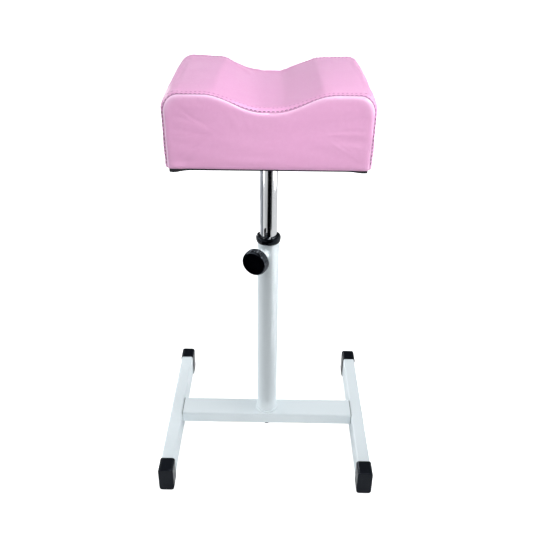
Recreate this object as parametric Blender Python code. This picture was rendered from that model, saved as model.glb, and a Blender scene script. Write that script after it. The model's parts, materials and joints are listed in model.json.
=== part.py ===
"""Pedicure footrest: an H base of steel tube, a mast, a chrome post that slides and turns in it,
a clamp knob, and a padded leg cradle sewn in artificial leather.

Lengths are in metres. +X is to the right, -Y to the front and +Z up. The origin is on the floor,
under the middle of the legs. The post is modelled part way out, as a user would leave it.
"""

import math

import bmesh
import bpy
from mathutils import Matrix, Vector

# Gaps and cuts
CLEARANCE = 0.0003
OVERRUN = 0.002
WELD_DISTANCE = 0.000001

# Facets
ROUND_STEPS = 48
SMALL_STEPS = 24
ARC_STEPS = 4
SHARP_ANGLE = math.radians(35)

# Rectangular tube of the legs and the crossbar
TUBE_THICK = 0.020
TUBE_TALL = 0.040
TUBE_WALL = 0.0015
TUBE_CORNER = 0.003
LEG_LENGTH = 0.300
LEG_SPACING = 0.303
CROSSBAR_FORWARD = 0.005

# Rubber end caps
CAP_WALL = 0.0012
CAP_END_WALL = 0.0017
CAP_SLEEVE = 0.023
CAP_FILLET = 0.0015

# Mast and its foot
MAST_RADIUS = 0.016
MAST_WALL = 0.0015
MAST_LENGTH = 0.322
FOOT_RADIUS = 0.0178
FOOT_FLANGE = 0.0035
FOOT_FILLET = 0.0012
FOOT_SPIGOT = 0.020
FOOT_HEAD_SEAT = 0.010

# Bolt, washer, nut and cap that hold the mast to the crossbar
BOLT_RADIUS = 0.004
BOLT_FLATS = 0.013
BOLT_HEAD = 0.0053
BOLT_LENGTH = 0.040
BOLT_CHAMFER = 0.0007
WASHER_RADIUS = 0.008
WASHER_THICKNESS = 0.0016
NUT_HEIGHT = 0.0065
NUT_CAP_WALL = 0.0010
NUT_CAP_HEIGHT = 0.0154
NUT_CAP_TIP = 0.0050

# Guide collar on top of the mast
COLLAR_RADIUS = 0.0182
COLLAR_HEIGHT = 0.0103
COLLAR_TOP = 0.0023
COLLAR_FILLET = 0.0037
COLLAR_TAPER = 0.005
COLLAR_EDGE = 0.0004
COLLAR_LIP = 0.0009
COLLAR_SLEEVE = 0.062

# Chrome post, the bush it turns in and the plug that keeps the bush on
POST_RADIUS = 0.0125
POST_WALL = 0.0012
POST_LENGTH = 0.2957
POST_SHOWING = 0.1378
BUSH_HEIGHT = 0.020
BUSH_FLOOR = 0.0025
BUSH_EYE = 0.0093
PLUG_HEAD = 0.0022
PLUG_HEAD_RADIUS = 0.012
PLUG_BARB = 0.0005
PLUG_HEIGHT = 0.014
PLUG_BORE = 0.006

# Clamp: boss on the mast, screw, pressure pad and knob
CLAMP_DROP = 0.0237
CLAMP_ANGLE = math.radians(26)
BOSS_RADIUS = 0.009
BOSS_REACH = 0.010
BOSS_CHAMFER = 0.0012
CLAMP_BOLT_RADIUS = 0.004
CLAMP_HEAD_FLATS = 0.013
CLAMP_HEAD = 0.0053
CLAMP_HEAD_COVER = 0.004
PAD_RADIUS = 0.0036
PAD_THICKNESS = 0.0028
PAD_STEM_RADIUS = 0.0015
PAD_STEM_LENGTH = 0.003
PAD_HOLE_GROWTH = 0.0011
KNOB_RADIUS = 0.0191
KNOB_LENGTH = 0.0124
KNOB_STANDOFF = 0.0086
KNOB_BEVEL = 0.0024
KNOB_ROUNDING = 0.0005
KNOB_BACK_BEVEL = 0.0008
KNOB_BAND = 0.0012
KNOB_DISH = 0.0003
KNOB_WALL = 0.0025
KNOB_HUB_RADIUS = 0.0105
KNOB_RECESS = 0.004
FLUTE_COUNT = 44
FLUTE_DEPTH = 0.0007
FLUTE_SHARES = (0.0, 0.0, 1.0, 1.0)

# Steel plate under the cushion, with the hub that holds the post
PLATE_SIDE = 0.120
PLATE_THICKNESS = 0.003
PLATE_CORNER = 0.010
HUB_RADIUS = 0.0165
HUB_HEIGHT = 0.012
HUB_FILLET = 0.0015
PLATE_SCREW_SPACING = 0.100
WOOD_SCREW_RADIUS = 0.0021
WOOD_SCREW_LENGTH = 0.014
WOOD_SCREW_TIP = 0.003
SCREW_HEAD_RADIUS = 0.004
SCREW_HEAD = 0.0026

# Cushion, as sewn: the seam outline is what the front shows
CUSHION_DEPTH = 0.200
SEAM_HALF_AT_FOOT = 0.1223
SEAM_HALF_AT_SHOULDER = 0.1235
RIDGE_HEIGHT = 0.093
VALLEY_DEPTH = 0.021
VALLEY_FLOOR = 0.006
VALLEY_REACH = 0.078
SHOULDER_WIDTH = 0.018
SHOULDER_HEIGHT = 0.020
COVER_THICKNESS = 0.0010
COVER_TURN_IN = 0.018
COVER_FOLD = 0.003
CROWN = 0.0016
CROWN_REACH = 0.020
PANEL_BULGE = 0.0025
PANEL_EDGE_SHARE = 0.3
CROWN_POWER = 4
BAND_SHARES = (-1.0, -0.94, -0.72, 0.0, 0.72, 0.94, 1.0)
FOAM_SHARES = (-1.0, -0.72, 0.72, 1.0)
PANEL_SHARES = (0.0, 0.15, 0.45, 1.0)
WAVE_STEPS = 7
FOLD_STEPS = 2
DUST_COVER_THICKNESS = 0.0008
DUST_COVER_INSET = 0.0015
BOARD_THICKNESS = 0.012
BOARD_CORNER = 0.004
BOARD_CHAMFER = 0.002

# Places that follow from the sizes
CAP_GROWTH = CAP_WALL + CLEARANCE
LEG_BASE = CAP_GROWTH
LEG_MIDDLE = LEG_BASE + TUBE_TALL / 2
CROSSBAR_TOP = LEG_BASE + TUBE_TALL
CROSSBAR_BASE = CROSSBAR_TOP - TUBE_THICK
CROSSBAR_LENGTH = LEG_SPACING - TUBE_THICK - 2 * CLEARANCE
AXIS_Y = -CROSSBAR_FORWARD
FOOT_BASE = CROSSBAR_TOP + CLEARANCE
MAST_BASE = FOOT_BASE + FOOT_FLANGE + CLEARANCE
MAST_TOP = MAST_BASE + MAST_LENGTH
MAST_BORE = MAST_RADIUS - MAST_WALL
BOLT_HOLE = BOLT_RADIUS + CLEARANCE
COLLAR_TOP_HEIGHT = MAST_TOP + CLEARANCE + COLLAR_TOP
POST_BORE = POST_RADIUS + CLEARANCE
CUSHION_BASE = COLLAR_TOP_HEIGHT + POST_SHOWING
POST_TOP = CUSHION_BASE - CLEARANCE
POST_END = POST_TOP - POST_LENGTH
PLATE_BASE = POST_TOP - PLATE_THICKNESS
CLAMP_HEIGHT = MAST_TOP - CLAMP_DROP
PAD_HOLE = PAD_RADIUS + PAD_HOLE_GROWTH
PAD_FACE = POST_RADIUS + CLEARANCE
CLAMP_BOLT_TIP = PAD_FACE + PAD_THICKNESS + CLEARANCE
BOSS_FACE = MAST_RADIUS + BOSS_REACH
KNOB_BACK = BOSS_FACE + KNOB_STANDOFF
KNOB_FACE = KNOB_BACK + KNOB_LENGTH
CLAMP_HEAD_TOP = KNOB_FACE - CLAMP_HEAD_COVER
COVER_BASE = DUST_COVER_THICKNESS + CLEARANCE
BOARD_BASE = COVER_BASE + COVER_THICKNESS + CLEARANCE
BOARD_TOP = BOARD_BASE + BOARD_THICKNESS
FOAM_BASE = BOARD_TOP + CLEARANCE
SEAM_DEPTH = CUSHION_DEPTH / 2
BAND_HALF_DEPTH = SEAM_DEPTH - COVER_THICKNESS - CLEARANCE
COVER_BUILD_UP = COVER_THICKNESS + CLEARANCE

# Finishes: colour, roughness and metallic value
WHITE_PAINT = ((0.86, 0.90, 0.92), 0.30, 0.0)
CHROME = ((0.90, 0.90, 0.91), 0.07, 1.0)
ZINC = ((0.62, 0.63, 0.64), 0.35, 1.0)
BLACK_STEEL = ((0.03, 0.03, 0.032), 0.45, 0.3)
BLACK_RUBBER = ((0.020, 0.022, 0.028), 0.50, 0.0)
BLACK_PLASTIC = ((0.012, 0.012, 0.015), 0.28, 0.0)
WHITE_NYLON = ((0.85, 0.84, 0.80), 0.45, 0.0)
PINK_LEATHER = ((0.80, 0.38, 0.62), 0.42, 0.0)
PLYWOOD = ((0.62, 0.45, 0.27), 0.70, 0.0)
FOAM = ((0.86, 0.80, 0.62), 0.95, 0.0)
BLACK_CLOTH = ((0.015, 0.015, 0.016), 0.90, 0.0)


def clear_scene():
    for item in list(bpy.data.objects):
        bpy.data.objects.remove(item)


def paint(item, finish):
    colour, roughness, metallic = finish
    material = bpy.data.materials.new(item.name + "_finish")
    material.use_nodes = True
    shader = material.node_tree.nodes["Principled BSDF"]
    shader.inputs["Base Color"].default_value = (*colour, 1.0)
    shader.inputs["Roughness"].default_value = roughness
    shader.inputs["Metallic"].default_value = metallic
    item.data.materials.append(material)


def add_object(name, mesh, finish=None, location=(0, 0, 0), rotation=(0, 0, 0), parent=None):
    """Turns a bmesh into a named object, set at a place under its parent."""
    data = bpy.data.meshes.new(name)
    mesh.to_mesh(data)
    mesh.free()
    data.shade_smooth()
    data.set_sharp_from_angle(angle=SHARP_ANGLE)
    item = bpy.data.objects.new(name, data)
    bpy.context.collection.objects.link(item)
    item.parent = parent
    item.location = location
    item.rotation_euler = rotation
    if finish:
        paint(item, finish)
    return item


def add_pivot(name, location, rotation=(0, 0, 0), parent=None):
    """An empty on a joint's axis: what moves with the joint is parented to it."""
    pivot = bpy.data.objects.new(name, None)
    bpy.context.collection.objects.link(pivot)
    pivot.parent = parent
    pivot.location = location
    pivot.rotation_euler = rotation
    return pivot


def cut(item, cutter):
    """Takes the cutter's shape out of the item."""
    cutter.hide_render = True
    cutter.display_type = "WIRE"
    boolean = item.modifiers.new(cutter.name, "BOOLEAN")
    boolean.operation = "DIFFERENCE"
    boolean.solver = "EXACT"
    boolean.object = cutter


def arc(centre, radii, start, end, steps=ARC_STEPS):
    """Points of an elliptic arc, with its angles in degrees."""
    points = []
    for step in range(steps + 1):
        angle = math.radians(start + (end - start) * step / steps)
        points.append((centre[0] + radii[0] * math.cos(angle), centre[1] + radii[1] * math.sin(angle)))
    return points


def rounded_rectangle(width, height, corner, steps=ARC_STEPS):
    points = []
    for start, side_x, side_y in ((0, 1, 1), (90, -1, 1), (180, -1, -1), (270, 1, -1)):
        centre = (side_x * (width / 2 - corner), side_y * (height / 2 - corner))
        points += arc(centre, (corner, corner), start, start + 90, steps)
    return points


def circle(radius, steps=SMALL_STEPS):
    return [(radius * math.cos(turn), radius * math.sin(turn)) for turn in turns(steps)]


def turns(steps):
    return [math.tau * step / steps for step in range(steps)]


def hexagon(across_flats, steps=SMALL_STEPS):
    """A hexagon with as many points as a circle, so that the two can be joined."""
    points = []
    for turn in turns(steps):
        from_flat = (turn % (math.tau / 6)) - math.tau / 12
        radius = across_flats / 2 / math.cos(from_flat)
        points.append((radius * math.cos(turn), radius * math.sin(turn)))
    return points


def ring(outline, height):
    return [Vector((across, along, height)) for across, along in outline]


def loft(rings, closed=False):
    """Joins each ring to the next, then fills the two ends or joins the last ring to the first."""
    mesh = bmesh.new()
    loops = [[mesh.verts.new(point) for point in points] for points in rings]
    pairs = list(zip(loops, loops[1:]))
    if closed:
        pairs.append((loops[-1], loops[0]))
    else:
        mesh.faces.new(loops[0])
        mesh.faces.new(loops[-1])
    for near, far in pairs:
        for i, corner in enumerate(near):
            j = (i + 1) % len(near)
            mesh.faces.new((corner, near[j], far[j], far[i]))
    bmesh.ops.recalc_face_normals(mesh, faces=mesh.faces)
    return mesh


def lathe(profile, steps=ROUND_STEPS):
    """Turns a closed outline of (radius, height) points about Z."""
    mesh = bmesh.new()
    corners = [mesh.verts.new((radius, 0, height)) for radius, height in profile]
    edges = []
    for near, far in zip(corners, corners[1:] + corners[:1]):
        if near.co.x > 0 or far.co.x > 0:
            edges.append(mesh.edges.new((near, far)))
    bmesh.ops.spin(
        mesh,
        geom=corners + edges,
        axis=(0, 0, 1),
        cent=(0, 0, 0),
        angle=math.tau,
        steps=steps,
        use_merge=True,
    )
    bmesh.ops.remove_doubles(mesh, verts=mesh.verts, dist=WELD_DISTANCE)
    bmesh.ops.recalc_face_normals(mesh, faces=mesh.faces)
    return mesh


def rod(radius, start, end, steps=ROUND_STEPS):
    return lathe([(0, start), (radius, start), (radius, end), (0, end)], steps)


def round_tube(outer, inner, start, end, steps=ROUND_STEPS):
    return lathe([(inner, start), (outer, start), (outer, end), (inner, end)], steps)


def rectangular_tube(length):
    """Drawn tube along Z, open at both ends, with its middle at the origin."""
    outer = rounded_rectangle(TUBE_THICK, TUBE_TALL, TUBE_CORNER)
    inner = rounded_rectangle(
        TUBE_THICK - 2 * TUBE_WALL, TUBE_TALL - 2 * TUBE_WALL, TUBE_CORNER - TUBE_WALL
    )
    half = length / 2
    return loft([ring(outer, -half), ring(outer, half), ring(inner, half), ring(inner, -half)], closed=True)


def add_legs():
    for side, name in ((-1, "leg_left"), (1, "leg_right")):
        add_object(
            name,
            rectangular_tube(LEG_LENGTH),
            WHITE_PAINT,
            location=(side * LEG_SPACING / 2, 0, LEG_MIDDLE),
            rotation=(-math.pi / 2, 0, 0),
        )


def add_crossbar():
    """The tube laid flat between the legs, drilled for the bolt that holds the mast."""
    bar = add_object(
        "crossbar",
        rectangular_tube(CROSSBAR_LENGTH),
        WHITE_PAINT,
        location=(0, AXIS_Y, CROSSBAR_TOP - TUBE_THICK / 2),
        rotation=(0, math.pi / 2, 0),
    )
    hole = rod(BOLT_HOLE, CROSSBAR_BASE - OVERRUN, CROSSBAR_TOP + OVERRUN, SMALL_STEPS)
    cut(bar, add_object("crossbar_hole", hole, location=(0, AXIS_Y, 0)))


def end_cap():
    """A cup that pushes over the end of a leg. Z runs out of the leg, from where the leg ends."""
    outer_width = TUBE_THICK + 2 * CAP_GROWTH
    outer_height = TUBE_TALL + 2 * CAP_GROWTH
    outer_corner = TUBE_CORNER + CAP_GROWTH
    inner = rounded_rectangle(
        TUBE_THICK + 2 * CLEARANCE, TUBE_TALL + 2 * CLEARANCE, TUBE_CORNER + CLEARANCE
    )
    outer = rounded_rectangle(outer_width, outer_height, outer_corner)
    end = CLEARANCE + CAP_END_WALL
    rings = [ring(inner, CLEARANCE), ring(inner, -CAP_SLEEVE), ring(outer, -CAP_SLEEVE)]
    for reach, height in arc((-CAP_FILLET, end - CAP_FILLET), (CAP_FILLET, CAP_FILLET), 0, 90):
        shrunk = rounded_rectangle(
            outer_width + 2 * reach, outer_height + 2 * reach, outer_corner + reach
        )
        rings.append(ring(shrunk, height))
    return loft(rings)


def add_end_caps():
    for side_x, side_name in ((-1, "left"), (1, "right")):
        for side_y, end_name in ((-1, "front"), (1, "rear")):
            add_object(
                f"end_cap_{end_name}_{side_name}",
                end_cap(),
                BLACK_RUBBER,
                location=(side_x * LEG_SPACING / 2, side_y * LEG_LENGTH / 2, LEG_MIDDLE),
                rotation=(-side_y * math.pi / 2, 0, 0),
            )


def add_mast():
    mast = add_object(
        "mast_tube",
        round_tube(MAST_RADIUS, MAST_BORE, MAST_BASE, MAST_TOP),
        WHITE_PAINT,
        location=(0, AXIS_Y, 0),
    )
    cut(mast, clamp_hole_cutter("mast_clamp_hole", PAD_HOLE, MAST_RADIUS + OVERRUN))


def clamp_hole_cutter(name, radius, reach):
    """A rod along the clamp's axis, from the mast's axis out to a given reach."""
    return add_object(
        name,
        rod(radius, 0, reach, SMALL_STEPS),
        location=(0, AXIS_Y, CLAMP_HEIGHT),
        rotation=clamp_rotation(),
    )


def clamp_rotation():
    """Turns +Z to the clamp's outward direction: level, to the front and a little to the left."""
    outward = Vector((-math.sin(CLAMP_ANGLE), -math.cos(CLAMP_ANGLE), 0))
    up = Vector((0, 0, 1))
    across = up.cross(outward)
    return Matrix((across, up, outward)).transposed().to_euler()


def add_mast_foot():
    """Turned foot, pressed into the mast: its flange rests on the crossbar, its pocket holds the bolt's head."""
    spigot = MAST_BORE - CLEARANCE
    shoulder = FOOT_BASE + FOOT_FLANGE
    top = shoulder + FOOT_SPIGOT
    profile = [(BOLT_HOLE, FOOT_BASE), (FOOT_RADIUS, FOOT_BASE)]
    profile += arc(
        (FOOT_RADIUS - FOOT_FILLET, shoulder - FOOT_FILLET), (FOOT_FILLET, FOOT_FILLET), 0, 90
    )
    profile += [(spigot, shoulder), (spigot, top - BOLT_CHAMFER), (spigot - BOLT_CHAMFER, top), (BOLT_HOLE, top)]
    foot = add_object("mast_foot", lathe(profile), WHITE_PAINT, location=(0, AXIS_Y, 0))
    pocket = hexagon(BOLT_FLATS + 2 * CLEARANCE)
    seat = FOOT_BASE + FOOT_HEAD_SEAT
    cutter = loft([ring(pocket, seat), ring(pocket, top + OVERRUN)])
    cut(foot, add_object("foot_pocket", cutter, location=(0, AXIS_Y, 0)))


def add_mast_fasteners():
    """Bolt with its head up in the foot, and the washer, nut and acorn-shaped cap under the crossbar."""
    axis = (0, AXIS_Y, 0)
    head_base = FOOT_BASE + FOOT_HEAD_SEAT + CLEARANCE
    head_top = head_base + BOLT_HEAD
    tip = head_base - BOLT_LENGTH
    bolt = loft(
        [
            ring(circle(BOLT_RADIUS - BOLT_CHAMFER), tip),
            ring(circle(BOLT_RADIUS), tip + BOLT_CHAMFER),
            ring(circle(BOLT_RADIUS), head_base),
            ring(hexagon(BOLT_FLATS), head_base),
            ring(hexagon(BOLT_FLATS), head_top - BOLT_CHAMFER),
            ring(circle(BOLT_FLATS / 2), head_top),
        ]
    )
    add_object("mast_bolt", bolt, ZINC, location=axis)

    washer_top = CROSSBAR_BASE - CLEARANCE
    washer_base = washer_top - WASHER_THICKNESS
    washer = round_tube(WASHER_RADIUS, BOLT_HOLE, washer_base, washer_top, SMALL_STEPS)
    add_object("mast_washer", washer, ZINC, location=axis)

    nut_top = washer_base - CLEARANCE
    nut_base = nut_top - NUT_HEIGHT
    nut = loft(
        [
            ring(circle(BOLT_HOLE), nut_base),
            ring(circle(BOLT_FLATS / 2), nut_base),
            ring(hexagon(BOLT_FLATS), nut_base + BOLT_CHAMFER),
            ring(hexagon(BOLT_FLATS), nut_top),
            ring(circle(BOLT_HOLE), nut_top),
        ],
        closed=True,
    )
    add_object("mast_nut", nut, ZINC, location=axis)

    pocket = BOLT_FLATS / 2 / math.cos(math.tau / 12) + CLEARANCE
    outer = pocket + NUT_CAP_WALL
    base = nut_top - NUT_CAP_HEIGHT
    tip = (0, base + NUT_CAP_TIP)
    hollow = NUT_CAP_TIP - NUT_CAP_WALL
    shoulder = outer - NUT_CAP_TIP
    inner_shoulder = shoulder - NUT_CAP_WALL
    profile = [(outer, nut_top)]
    profile += arc((NUT_CAP_TIP, nut_base), (shoulder, shoulder), 0, -90, 2 * ARC_STEPS)
    profile += arc(tip, (NUT_CAP_TIP, NUT_CAP_TIP), 0, -90, 2 * ARC_STEPS)
    profile += arc(tip, (hollow, hollow), -90, 0, 2 * ARC_STEPS)
    profile += arc((NUT_CAP_TIP, nut_base), (inner_shoulder, inner_shoulder), -90, 0, 2 * ARC_STEPS)
    profile += [(pocket, nut_top)]
    add_object("nut_cap", lathe(profile, SMALL_STEPS), BLACK_PLASTIC, location=axis)


def add_collar():
    """Moulded collar: a skirt over the mast, and a long sleeve inside that guides the post."""
    top = COLLAR_TOP_HEIGHT
    skirt_end = top - COLLAR_HEIGHT
    skirt_bore = MAST_RADIUS + CLEARANCE
    sleeve = MAST_BORE - CLEARANCE
    sleeve_end = MAST_TOP - COLLAR_SLEEVE
    fillet = (COLLAR_FILLET, COLLAR_FILLET)
    foot = skirt_bore + COLLAR_EDGE
    profile = [(POST_BORE, sleeve_end), (POST_BORE, top - COLLAR_LIP), (POST_BORE + COLLAR_LIP, top)]
    profile += arc((COLLAR_RADIUS - COLLAR_FILLET, top - COLLAR_FILLET), fillet, 90, 0)
    profile += arc((foot, skirt_end + COLLAR_TAPER), (COLLAR_RADIUS - foot, COLLAR_TAPER), 0, -90)
    profile += [(skirt_bore, skirt_end), (skirt_bore, MAST_TOP + CLEARANCE), (sleeve, MAST_TOP + CLEARANCE)]
    profile += [(sleeve, sleeve_end + COLLAR_LIP), (sleeve - COLLAR_LIP, sleeve_end)]
    collar = add_object("mast_collar", lathe(profile), BLACK_PLASTIC, location=(0, AXIS_Y, 0))
    cut(collar, clamp_hole_cutter("collar_clamp_hole", PAD_HOLE, MAST_BORE))


def add_clamp_boss():
    """Threaded boss welded to the mast, with its inner end shaped to the tube."""
    profile = [(BOLT_HOLE, 0), (BOSS_RADIUS, 0), (BOSS_RADIUS, BOSS_FACE - BOSS_CHAMFER)]
    profile += [(BOSS_RADIUS - BOSS_CHAMFER, BOSS_FACE), (BOLT_HOLE, BOSS_FACE)]
    boss = add_object(
        "clamp_boss",
        lathe(profile, SMALL_STEPS),
        WHITE_PAINT,
        location=(0, AXIS_Y, CLAMP_HEIGHT),
        rotation=clamp_rotation(),
    )
    low = CLAMP_HEIGHT - BOSS_RADIUS - OVERRUN
    high = CLAMP_HEIGHT + BOSS_RADIUS + OVERRUN
    mast_shape = rod(MAST_RADIUS + CLEARANCE, low, high)
    cut(boss, add_object("boss_saddle", mast_shape, location=(0, AXIS_Y, 0)))


def fluted_circle(radius, depth):
    """A circle with flutes pressed into it, each with a flat crest and a flat root."""
    points = []
    for i, turn in enumerate(turns(FLUTE_COUNT * len(FLUTE_SHARES))):
        reach = radius - depth * FLUTE_SHARES[i % len(FLUTE_SHARES)]
        points.append((reach * math.cos(turn), reach * math.sin(turn)))
    return points


def knob_body():
    """Fluted grip with a smooth bevelled rim, a shallow dished face and a hollow back round a hub."""
    band = KNOB_FACE - KNOB_BEVEL
    face = KNOB_RADIUS - KNOB_BEVEL
    middle = KNOB_RADIUS - (FLUTE_DEPTH + KNOB_BEVEL) / 2
    return loft(
        [
            ring(fluted_circle(KNOB_RADIUS - KNOB_BACK_BEVEL, 0), KNOB_BACK),
            ring(fluted_circle(KNOB_RADIUS, 0), KNOB_BACK + KNOB_BACK_BEVEL),
            ring(fluted_circle(KNOB_RADIUS, FLUTE_DEPTH), KNOB_BACK + KNOB_BACK_BEVEL + FLUTE_DEPTH),
            ring(fluted_circle(KNOB_RADIUS, FLUTE_DEPTH), band - KNOB_BAND),
            ring(fluted_circle(KNOB_RADIUS - FLUTE_DEPTH, 0), band),
            ring(fluted_circle(middle + KNOB_ROUNDING, 0), KNOB_FACE - KNOB_BEVEL / 2 + KNOB_ROUNDING),
            ring(fluted_circle(face, 0), KNOB_FACE),
            ring(fluted_circle(face - KNOB_BEVEL, 0), KNOB_FACE - KNOB_DISH),
        ]
    )


def add_clamp(travel_pivot, turn_pivot):
    """Pad, screw and knob, drawn along the clamp's axis from the mast's axis outwards."""
    pad = lathe(
        [
            (0, PAD_FACE),
            (PAD_RADIUS, PAD_FACE),
            (PAD_RADIUS, PAD_FACE + PAD_THICKNESS),
            (PAD_STEM_RADIUS, PAD_FACE + PAD_THICKNESS),
            (PAD_STEM_RADIUS, PAD_FACE + PAD_THICKNESS + PAD_STEM_LENGTH),
            (0, PAD_FACE + PAD_THICKNESS + PAD_STEM_LENGTH),
        ],
        SMALL_STEPS,
    )
    add_object("clamp_pad", pad, WHITE_NYLON, parent=travel_pivot)

    socket = PAD_STEM_RADIUS + CLEARANCE
    socket_end = CLAMP_BOLT_TIP + PAD_STEM_LENGTH + CLEARANCE
    head_base = CLAMP_HEAD_TOP - CLAMP_HEAD
    screw = loft(
        [
            ring(circle(socket), socket_end),
            ring(circle(socket), CLAMP_BOLT_TIP),
            ring(circle(CLAMP_BOLT_RADIUS - BOLT_CHAMFER), CLAMP_BOLT_TIP),
            ring(circle(CLAMP_BOLT_RADIUS), CLAMP_BOLT_TIP + BOLT_CHAMFER),
            ring(circle(CLAMP_BOLT_RADIUS), head_base),
            ring(hexagon(CLAMP_HEAD_FLATS), head_base),
            ring(hexagon(CLAMP_HEAD_FLATS), CLAMP_HEAD_TOP),
        ]
    )
    add_object("clamp_screw", screw, ZINC, parent=turn_pivot)

    knob = add_object("clamp_knob", knob_body(), BLACK_PLASTIC, parent=turn_pivot)
    recess = round_tube(
        KNOB_RADIUS - FLUTE_DEPTH - KNOB_WALL, KNOB_HUB_RADIUS, KNOB_BACK - OVERRUN, KNOB_BACK + KNOB_RECESS
    )
    cut(knob, add_object("knob_recess", recess, parent=turn_pivot))
    shank = circle(CLAMP_BOLT_RADIUS + CLEARANCE)
    head = hexagon(CLAMP_HEAD_FLATS + 2 * CLEARANCE)
    screw_space = loft(
        [
            ring(shank, KNOB_BACK - OVERRUN),
            ring(shank, head_base - CLEARANCE),
            ring(head, head_base - CLEARANCE),
            ring(head, CLAMP_HEAD_TOP + CLEARANCE),
        ]
    )
    cut(knob, add_object("knob_screw_space", screw_space, parent=turn_pivot))


def add_glide_bush(slide_pivot):
    """Plastic bush round the post's lower end: it slides in the mast, and the post turns in it."""
    outer = MAST_BORE - CLEARANCE
    floor_top = POST_END - CLEARANCE
    floor_base = floor_top - BUSH_FLOOR
    top = floor_base + BUSH_HEIGHT
    profile = [(BUSH_EYE, floor_base), (outer - COLLAR_LIP, floor_base), (outer, floor_base + COLLAR_LIP)]
    profile += [(outer, top - COLLAR_LIP), (outer - COLLAR_LIP, top), (POST_BORE, top)]
    profile += [(POST_BORE, floor_top), (BUSH_EYE, floor_top)]
    add_object("glide_bush", lathe(profile), WHITE_NYLON, parent=slide_pivot)


def add_post(turn_pivot):
    tube = round_tube(POST_RADIUS, POST_RADIUS - POST_WALL, POST_END, POST_TOP)
    add_object("inner_post", tube, CHROME, parent=turn_pivot)

    neck = BUSH_EYE - CLEARANCE
    barb = POST_RADIUS - POST_WALL - CLEARANCE
    neck_base = POST_END - 2 * CLEARANCE - BUSH_FLOOR
    head_base = neck_base - PLUG_HEAD
    barb_base = POST_END + CLEARANCE
    top = head_base + PLUG_HEIGHT
    profile = [(PLUG_BORE, head_base), (PLUG_HEAD_RADIUS - PLUG_BARB, head_base)]
    profile += [(PLUG_HEAD_RADIUS, head_base + PLUG_BARB), (PLUG_HEAD_RADIUS, neck_base), (neck, neck_base)]
    profile += [(neck, barb_base), (barb, barb_base + PLUG_BARB), (barb - PLUG_BARB, top), (PLUG_BORE, top)]
    add_object("post_end_plug", lathe(profile, SMALL_STEPS), BLACK_PLASTIC, parent=turn_pivot)


def plate_screw_places():
    half = PLATE_SCREW_SPACING / 2
    return [(-half, -half), (half, -half), (half, half), (-half, half)]


def screw_hole_cutter(name, radius, start, end, turn_pivot):
    """Four rods in one cutter, where the plate's screws go."""
    mesh = bmesh.new()
    for place in plate_screw_places():
        single = bpy.data.meshes.new(name)
        drill = rod(radius, start, end, SMALL_STEPS)
        drill.transform(Matrix.Translation((*place, 0)))
        drill.to_mesh(single)
        drill.free()
        mesh.from_mesh(single)
        bpy.data.meshes.remove(single)
    return add_object(name, mesh, parent=turn_pivot)


def add_mounting_plate(turn_pivot):
    """Pressed plate with a hub welded under it. The post goes through both."""
    square = rounded_rectangle(PLATE_SIDE, PLATE_SIDE, PLATE_CORNER)
    plate = add_object(
        "mounting_plate",
        loft([ring(square, PLATE_BASE), ring(square, POST_TOP)]),
        BLACK_STEEL,
        parent=turn_pivot,
    )
    hub_base = PLATE_BASE - HUB_HEIGHT
    profile = [(0, hub_base)]
    profile += arc((HUB_RADIUS - HUB_FILLET, hub_base + HUB_FILLET), (HUB_FILLET, HUB_FILLET), -90, 0)
    profile += arc((HUB_RADIUS + HUB_FILLET, PLATE_BASE - HUB_FILLET), (HUB_FILLET, HUB_FILLET), 180, 90)
    middle = PLATE_BASE + PLATE_THICKNESS / 2
    profile += [(HUB_RADIUS + HUB_FILLET, middle), (0, middle)]
    hub = add_object("plate_hub", lathe(profile), parent=turn_pivot)
    hub.hide_render = True
    hub.display_type = "WIRE"
    union = plate.modifiers.new("hub", "BOOLEAN")
    union.operation = "UNION"
    union.solver = "EXACT"
    union.object = hub
    bore = rod(POST_BORE, hub_base - OVERRUN, POST_TOP + OVERRUN)
    cut(plate, add_object("plate_bore", bore, parent=turn_pivot))
    hole = WOOD_SCREW_RADIUS + CLEARANCE
    drills = screw_hole_cutter(
        "plate_screw_holes", hole, PLATE_BASE - OVERRUN, POST_TOP + OVERRUN, turn_pivot
    )
    cut(plate, drills)


def add_plate_screws(turn_pivot):
    """Pan-head wood screws, driven up through the plate into the board."""
    head_top = PLATE_BASE - CLEARANCE
    head_base = head_top - SCREW_HEAD
    tip = head_top + WOOD_SCREW_LENGTH
    profile = arc((0, head_top), (SCREW_HEAD_RADIUS, head_top - head_base), -90, 0)
    profile += [(WOOD_SCREW_RADIUS, head_top), (WOOD_SCREW_RADIUS, tip - WOOD_SCREW_TIP), (0, tip)]
    for number, place in enumerate(plate_screw_places(), 1):
        screw = lathe(profile, SMALL_STEPS)
        add_object(f"plate_screw_{number}", screw, ZINC, location=(*place, 0), parent=turn_pivot)


def add_board(turn_pivot):
    """Plywood seat of the cushion, with pilot holes for the plate's screws."""
    width = 2 * (SEAM_HALF_AT_FOOT - COVER_BUILD_UP)
    depth = 2 * BAND_HALF_DEPTH
    outline = rounded_rectangle(width, depth, BOARD_CORNER)
    eased = rounded_rectangle(
        width - 2 * BOARD_CHAMFER, depth - 2 * BOARD_CHAMFER, BOARD_CORNER - BOARD_CHAMFER
    )
    base = CUSHION_BASE + BOARD_BASE
    rings = [ring(eased, base), ring(outline, base + BOARD_CHAMFER), ring(outline, CUSHION_BASE + BOARD_TOP)]
    board = add_object("seat_board", loft(rings), PLYWOOD, parent=turn_pivot)
    end = PLATE_BASE + WOOD_SCREW_LENGTH + CLEARANCE
    hole = WOOD_SCREW_RADIUS + CLEARANCE
    drills = screw_hole_cutter("board_pilot_holes", hole, base - OVERRUN, end, turn_pivot)
    cut(board, drills)


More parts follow.
